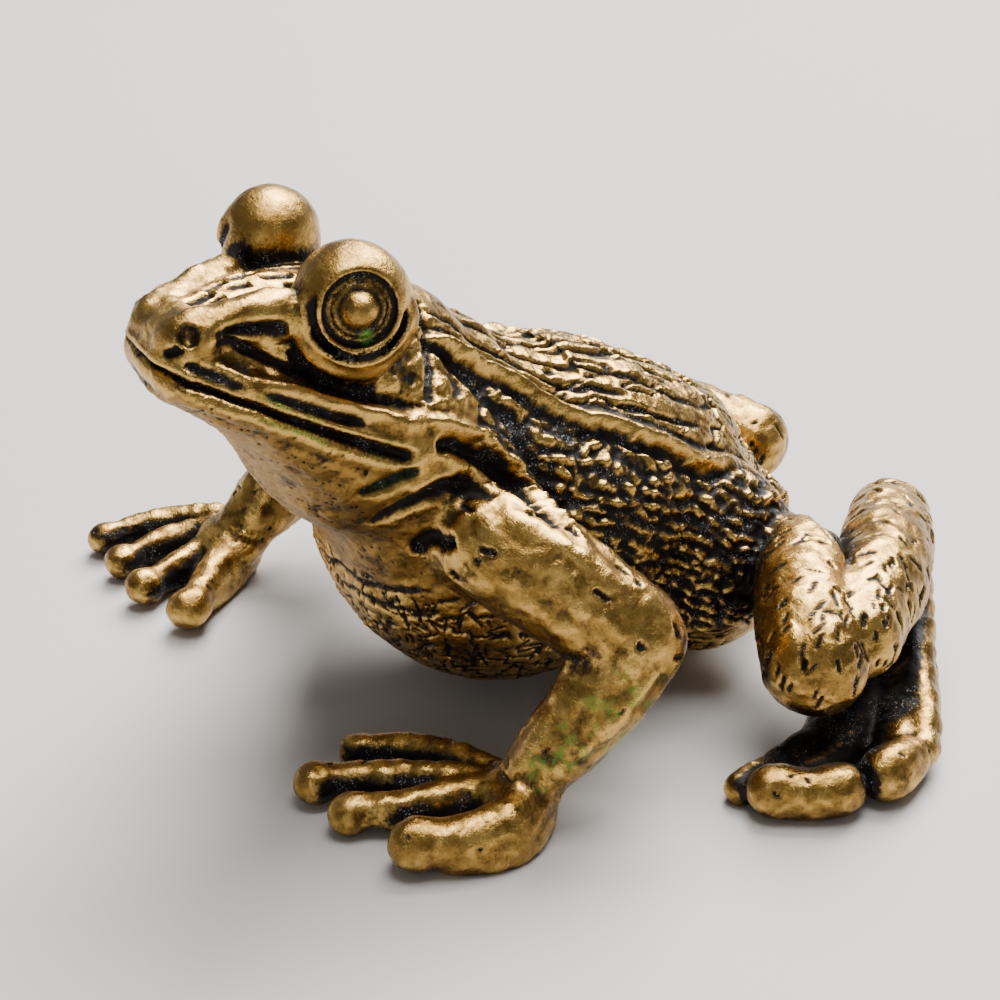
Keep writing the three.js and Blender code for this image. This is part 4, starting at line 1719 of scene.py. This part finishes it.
class Wire:
    """A shader socket that can be used in Python expressions."""

    def __init__(self, shader: "Shader", socket: bpy.types.NodeSocket) -> None:
        """Keeps the socket and the shader that it belongs to."""
        self.shader = shader
        self.socket = socket

    def _math(self, operation: str, *values: "Wire | float") -> "Wire":
        """Adds a Math node for an operation."""
        return self.shader.node("ShaderNodeMath", {"operation": operation}, dict(enumerate(values)))

    def __add__(self, other: "Wire | float") -> "Wire":
        """self + other."""
        return self._math("ADD", self, other)

    def __radd__(self, other: float) -> "Wire":
        """other + self."""
        return self._math("ADD", other, self)

    def __sub__(self, other: "Wire | float") -> "Wire":
        """self - other."""
        return self._math("SUBTRACT", self, other)

    def __rsub__(self, other: float) -> "Wire":
        """other - self."""
        return self._math("SUBTRACT", other, self)

    def __mul__(self, other: "Wire | float") -> "Wire":
        """self * other."""
        return self._math("MULTIPLY", self, other)

    def __rmul__(self, other: float) -> "Wire":
        """other * self."""
        return self._math("MULTIPLY", other, self)

    def rise(self, low: float, high: float) -> "Wire":
        """Rises smoothly from 0 at low to 1 at high.

        Args:
            low: Where the rise starts.
            high: Where it ends.

        Returns:
            The risen value.
        """
        settings = {"interpolation_type": "SMOOTHSTEP"}
        inputs = {"Value": self, "From Min": low, "From Max": high}
        return self.shader.node("ShaderNodeMapRange", settings, inputs)

    def held(self) -> "Wire":
        """Kept between 0 and 1."""
        return self.shader.node("ShaderNodeClamp", {}, {"Value": self})


class Shader:
    """Builds one material's node tree."""

    def __init__(self, name: str) -> None:
        """Makes an empty material.

        Args:
            name: The material's name.
        """
        self.material = bpy.data.materials.new(name)
        self.material.use_nodes = True
        self.tree = self.material.node_tree
        self.tree.nodes.clear()

    def node(
        self,
        kind: str,
        settings: dict[str, object],
        inputs: dict[str | int, object],
        output: str | int = 0,
    ) -> Wire:
        """Adds a node.

        Args:
            kind: The node's type.
            settings: Its own settings, set before its sockets.
            inputs: A value or a wire for each socket, by name or number.
            output: The output that is wanted, by name or number.

        Returns:
            A wire from that output.
        """
        made = self.tree.nodes.new(kind)
        for name, value in settings.items():
            setattr(made, name, value)
        for name, value in inputs.items():
            if isinstance(value, Wire):
                self.tree.links.new(value.socket, made.inputs[name])
            else:
                made.inputs[name].default_value = value
        return Wire(self, made.outputs[output])

    def attribute(self, name: str) -> Wire:
        """A value that is stored on the mesh."""
        return self.node("ShaderNodeAttribute", {"attribute_name": name}, {}, "Fac")

    def place(self, stretch: tuple[float, float, float] = (1.0, 1.0, 1.0)) -> Wire:
        """The place on the object, in metres, stretched by a factor per axis."""
        place = self.node("ShaderNodeTexCoord", {}, {}, "Object")
        return self.node("ShaderNodeMapping", {}, {"Vector": place, "Scale": stretch})

    def noise(self, place: Wire, lump_mm: float, detail: float = 2.0, rough: float = 0.5) -> Wire:
        """Noise with lumps of about the given size in millimetres."""
        inputs = {"Vector": place, "Scale": 1 / (lump_mm * MM), "Detail": detail, "Roughness": rough}
        return self.node("ShaderNodeTexNoise", {}, inputs, "Fac")

    def mix(self, share: Wire | float, first: object, second: object) -> Wire:
        """A colour between two colours.

        Args:
            share: The share of the second colour.
            first: A colour or a wire.
            second: A colour or a wire.

        Returns:
            A wire with the mixed colour.
        """
        inputs = {"Factor": share, "A": first, "B": second}
        made = self.tree.nodes.new("ShaderNodeMix")
        made.data_type = "RGBA"
        sockets = {"Factor": made.inputs[0], "A": made.inputs[6], "B": made.inputs[7]}
        for name, value in inputs.items():
            if isinstance(value, Wire):
                self.tree.links.new(value.socket, sockets[name])
            else:
                sockets[name].default_value = value
        return Wire(self, made.outputs[2])

    def surface(self, inputs: dict[str, object]) -> bpy.types.Material:
        """Finishes the material with a Principled shader.

        Args:
            inputs: A value or a wire for each of the shader's sockets.

        Returns:
            The material.
        """
        skin = self.node("ShaderNodeBsdfPrincipled", {}, inputs)
        end = self.tree.nodes.new("ShaderNodeOutputMaterial")
        self.tree.links.new(skin.socket, end.inputs["Surface"])
        return self.material


@dataclass(frozen=True)
class AntiquedBrass:
    """Cast brass, blackened all over and polished back on the high spots, with painted shade on the
    undersides.
    """

    bright: tuple = (0.62, 0.385, 0.1, 1.0)
    warm: tuple = (0.33, 0.19, 0.045, 1.0)
    copper: tuple = (0.26, 0.1, 0.03, 1.0)
    black: tuple = (0.008, 0.007, 0.006, 1.0)
    brown: tuple = (0.075, 0.045, 0.016, 1.0)
    green_spot: tuple = (0.1, 0.45, 0.03, 1.0)
    chalk: tuple = (0.55, 0.56, 0.58, 1.0)

    def material(self) -> bpy.types.Material:
        """Builds the material.

        Returns:
            The finished material.
        """
        s = Shader("antiqued_brass")
        place = s.place()
        recess = s.attribute("recess")
        polish = s.attribute("polish")
        green = s.attribute("green")
        mottle = s.noise(place, 1.1, 4.0, 0.6)
        grain = s.noise(place, 0.16, 3.0, 0.6)
        stain = s.noise(place, 2.6, 3.0, 0.55)
        pits = s.noise(place, 0.07, 2.0, 0.5)
        # The recess value holds patina in the hollows and painted shade on the undersides; it turns the
        # colour black and brown.
        dark = (recess + (mottle - 0.5) * 0.45 + (grain - 0.5) * 0.75 + 0.04).rise(0.36, 0.6)
        metal = s.mix(((stain + mottle - 1) * 1.7 + 1.13 - polish).rise(0.2, 0.75), self.bright, self.warm)
        metal = s.mix((mottle.rise(0.6, 0.74) * (1 - polish)).held() * 0.35, metal, self.copper)
        tarnish_and_shade = (recess * 1.7 + (grain - 0.5) * 1.5 + (mottle - 0.5) * 1.1 + 0.16).rise(0.15, 0.85)
        metal = s.mix(tarnish_and_shade * 0.85, metal, self.brown)
        colour = s.mix(dark, metal, self.black)
        flecks = dark * pits.rise(0.6, 0.68) * mottle.rise(0.5, 0.6)
        colour = s.mix(flecks * 0.7, colour, self.chalk)
        # Green spots where the green value is set.
        lime = (green * grain.rise(0.42, 0.55)).held()
        colour = s.mix(lime, colour, self.green_spot)
        rough = 0.2 + (1 - polish) * 0.22 + dark * 0.2 + (grain - 0.5) * 0.25 + lime * 0.3
        scratch = s.noise(s.place((1.0, 5.0, 3.0)), 0.35, 3.0, 0.7)
        height = scratch * 0.4 + grain * 0.6 + pits * 0.25
        bump = s.node(
            "ShaderNodeBump", {}, {"Strength": 0.8, "Distance": 0.05 * MM, "Height": height}
        )
        metallic = 1 - (dark * 0.35 + lime * 0.8 + flecks * 0.9).held()
        return s.surface(
            {
                "Base Color": colour,
                "Metallic": metallic,
                "Roughness": rough.held(),
                "Normal": bump,
            }
        )


# ---------------------------------------------------------------- the studio


@dataclass
class Studio:
    """A pale floor, soft light and a camera on the frog's left front."""

    bench: Bench
    azimuth: float = math.radians(60)
    elevation: float = math.radians(30)
    distance: float = 0.15
    lens: float = 128.56
    sensor: float = 36.0
    aim: tuple[float, float, float] = (0.0, 0.0, 8.0)

    def camera(self) -> None:
        """Sets up the camera."""
        flat = math.cos(self.elevation)
        back = Vector(
            (
                math.sin(self.azimuth) * flat,
                -math.cos(self.azimuth) * flat,
                math.sin(self.elevation),
            )
        )
        data = bpy.data.cameras.new("camera")
        data.lens = self.lens
        data.sensor_width = self.sensor
        data.clip_start = 0.005
        camera = bpy.data.objects.new("camera", data)
        camera.location = Vector(self.bench.to_frame(self.aim)) + back * self.distance
        camera.rotation_euler = back.to_track_quat("Z", "Y").to_euler()
        bpy.context.scene.collection.objects.link(camera)
        bpy.context.scene.camera = camera

    def floor(self) -> None:
        """Lays the floor at the height of the soles."""
        size = 3.0
        low = CAD_BOX[0].z
        mesh = bpy.data.meshes.new("floor")
        corners = [(-size, -size, low), (size, -size, low), (size, size, low), (-size, size, low)]
        mesh.from_pydata(corners, [], [(0, 1, 2, 3)])
        s = Shader("pale_floor")
        cloud = s.noise(s.place(), 60.0, 3.0)
        colour = s.mix(cloud, (0.46, 0.445, 0.432, 1.0), (0.5, 0.49, 0.478, 1.0))
        mesh.materials.append(s.surface({"Base Color": colour, "Roughness": 0.55}))
        floor = bpy.data.objects.new("floor", mesh)
        bpy.context.scene.collection.objects.link(floor)

    def softbox(
        self, name: str, place: tuple[float, float, float], size: float, power: float, tint: tuple
    ) -> None:
        """Hangs a square soft light that faces the frog.

        Args:
            name: The light's name.
            place: Where it hangs, in metres from the frog.
            size: The length of its side in metres.
            power: Its power in watts.
            tint: Its colour.
        """
        data = bpy.data.lights.new(name, "AREA")
        data.size = size
        data.energy = power
        data.color = tint
        light = bpy.data.objects.new(name, data)
        light.location = place
        light.rotation_euler = Vector(place).to_track_quat("Z", "Y").to_euler()
        bpy.context.scene.collection.objects.link(light)

    def lights(self) -> None:
        """Hangs the lights and sets the sky."""
        self.softbox("window", (-0.25, 0.3, 0.45), 0.4, 12.0, (1.0, 0.97, 0.93))
        self.softbox("ceiling", (0.0, 0.05, 0.7), 0.35, 4.5, (1.0, 0.98, 0.96))
        self.softbox("fill", (0.5, -0.45, 0.3), 0.15, 0.3, (0.95, 0.97, 1.0))
        world = bpy.data.worlds.new("sky")
        world.use_nodes = True
        world.node_tree.nodes["Background"].inputs["Color"].default_value = (0.8, 0.82, 0.85, 1)
        world.node_tree.nodes["Background"].inputs["Strength"].default_value = 0.3
        bpy.context.scene.world = world

    def set_up(self) -> None:
        """Sets up the whole studio."""
        self.camera()
        self.floor()
        self.lights()


# ---------------------------------------------------------------- main


LEFT_FINGERS = [
    [(9.4, -5.4), (6.5, -6.5), (5.0, -7.7), (4.0, -9.1)],
    [(9.9, -5.9), (7.7, -8.0), (6.2, -10.0), (5.5, -11.7)],
    [(10.3, -6.0), (9.4, -7.9), (8.9, -9.8), (8.0, -11.5)],
    [(11.3, -5.3), (12.3, -7.0), (12.2, -8.9), (11.5, -10.4)],
]
RIGHT_FINGERS = [
    [(12.4, -6.4), (11.2, -8.0), (10.0, -9.4), (9.1, -10.4)],
    [(13.1, -6.6), (12.8, -8.2), (12.4, -9.9), (11.9, -11.2)],
    [(13.9, -6.2), (14.6, -7.7), (14.8, -9.5), (14.5, -11.1)],
    [(14.6, -5.7), (16.0, -7.3), (16.7, -9.2), (16.8, -10.9)],
]
LEFT_GIRTHS = [(0.5, 0.72), (0.55, 0.88), (0.6, 0.88), (0.85, 1.1)]
RIGHT_GIRTHS = [(0.6, 0.92), (0.5, 0.84), (0.46, 0.76), (0.46, 0.72)]


def main() -> None:
    """Sculpts the frog, parts it, dresses it and sets up the studio."""
    logging.basicConfig(level=logging.INFO, format="%(message)s")
    bench = Bench()
    Studio(bench).set_up()

    step = FINE_STEP
    low, high = (np.array(corner) / MM - bench.shift for corner in CAD_BOX)
    clay = Clay(low - ROOM, high + ROOM, step)
    Trunk().build(clay)
    head = Head(bench)
    head.build(clay)
    Arm(bench, Side.LEFT, LEFT_FINGERS, LEFT_GIRTHS).build(clay)
    Arm(bench, Side.RIGHT, RIGHT_FINGERS, RIGHT_GIRTHS).build(clay)
    HindLeg(bench, Side.LEFT).build(clay)
    HindLeg(bench, Side.RIGHT).build(clay)
    clay.level(0.0)
    log.info("clay %s", clay.field.shape)

    skin = Skin(clay)
    log.info("skin %d points", len(skin.points))
    chasing = Chasing(Chaser(skin, seed=7), head)
    chasing.work()
    skin.weather(chasing.flank, chasing.chest)
    log.info("skin chased")

    brass = AntiquedBrass().material()
    parting = Parting(skin, bench)
    for region in Region:
        piece = parting.piece(region, brass)
        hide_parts(region.value)
        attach(piece, BODY)
        log.info("%s: %d faces", piece.name, len(piece.data.polygons))


if __name__ == "__main__":
    main()
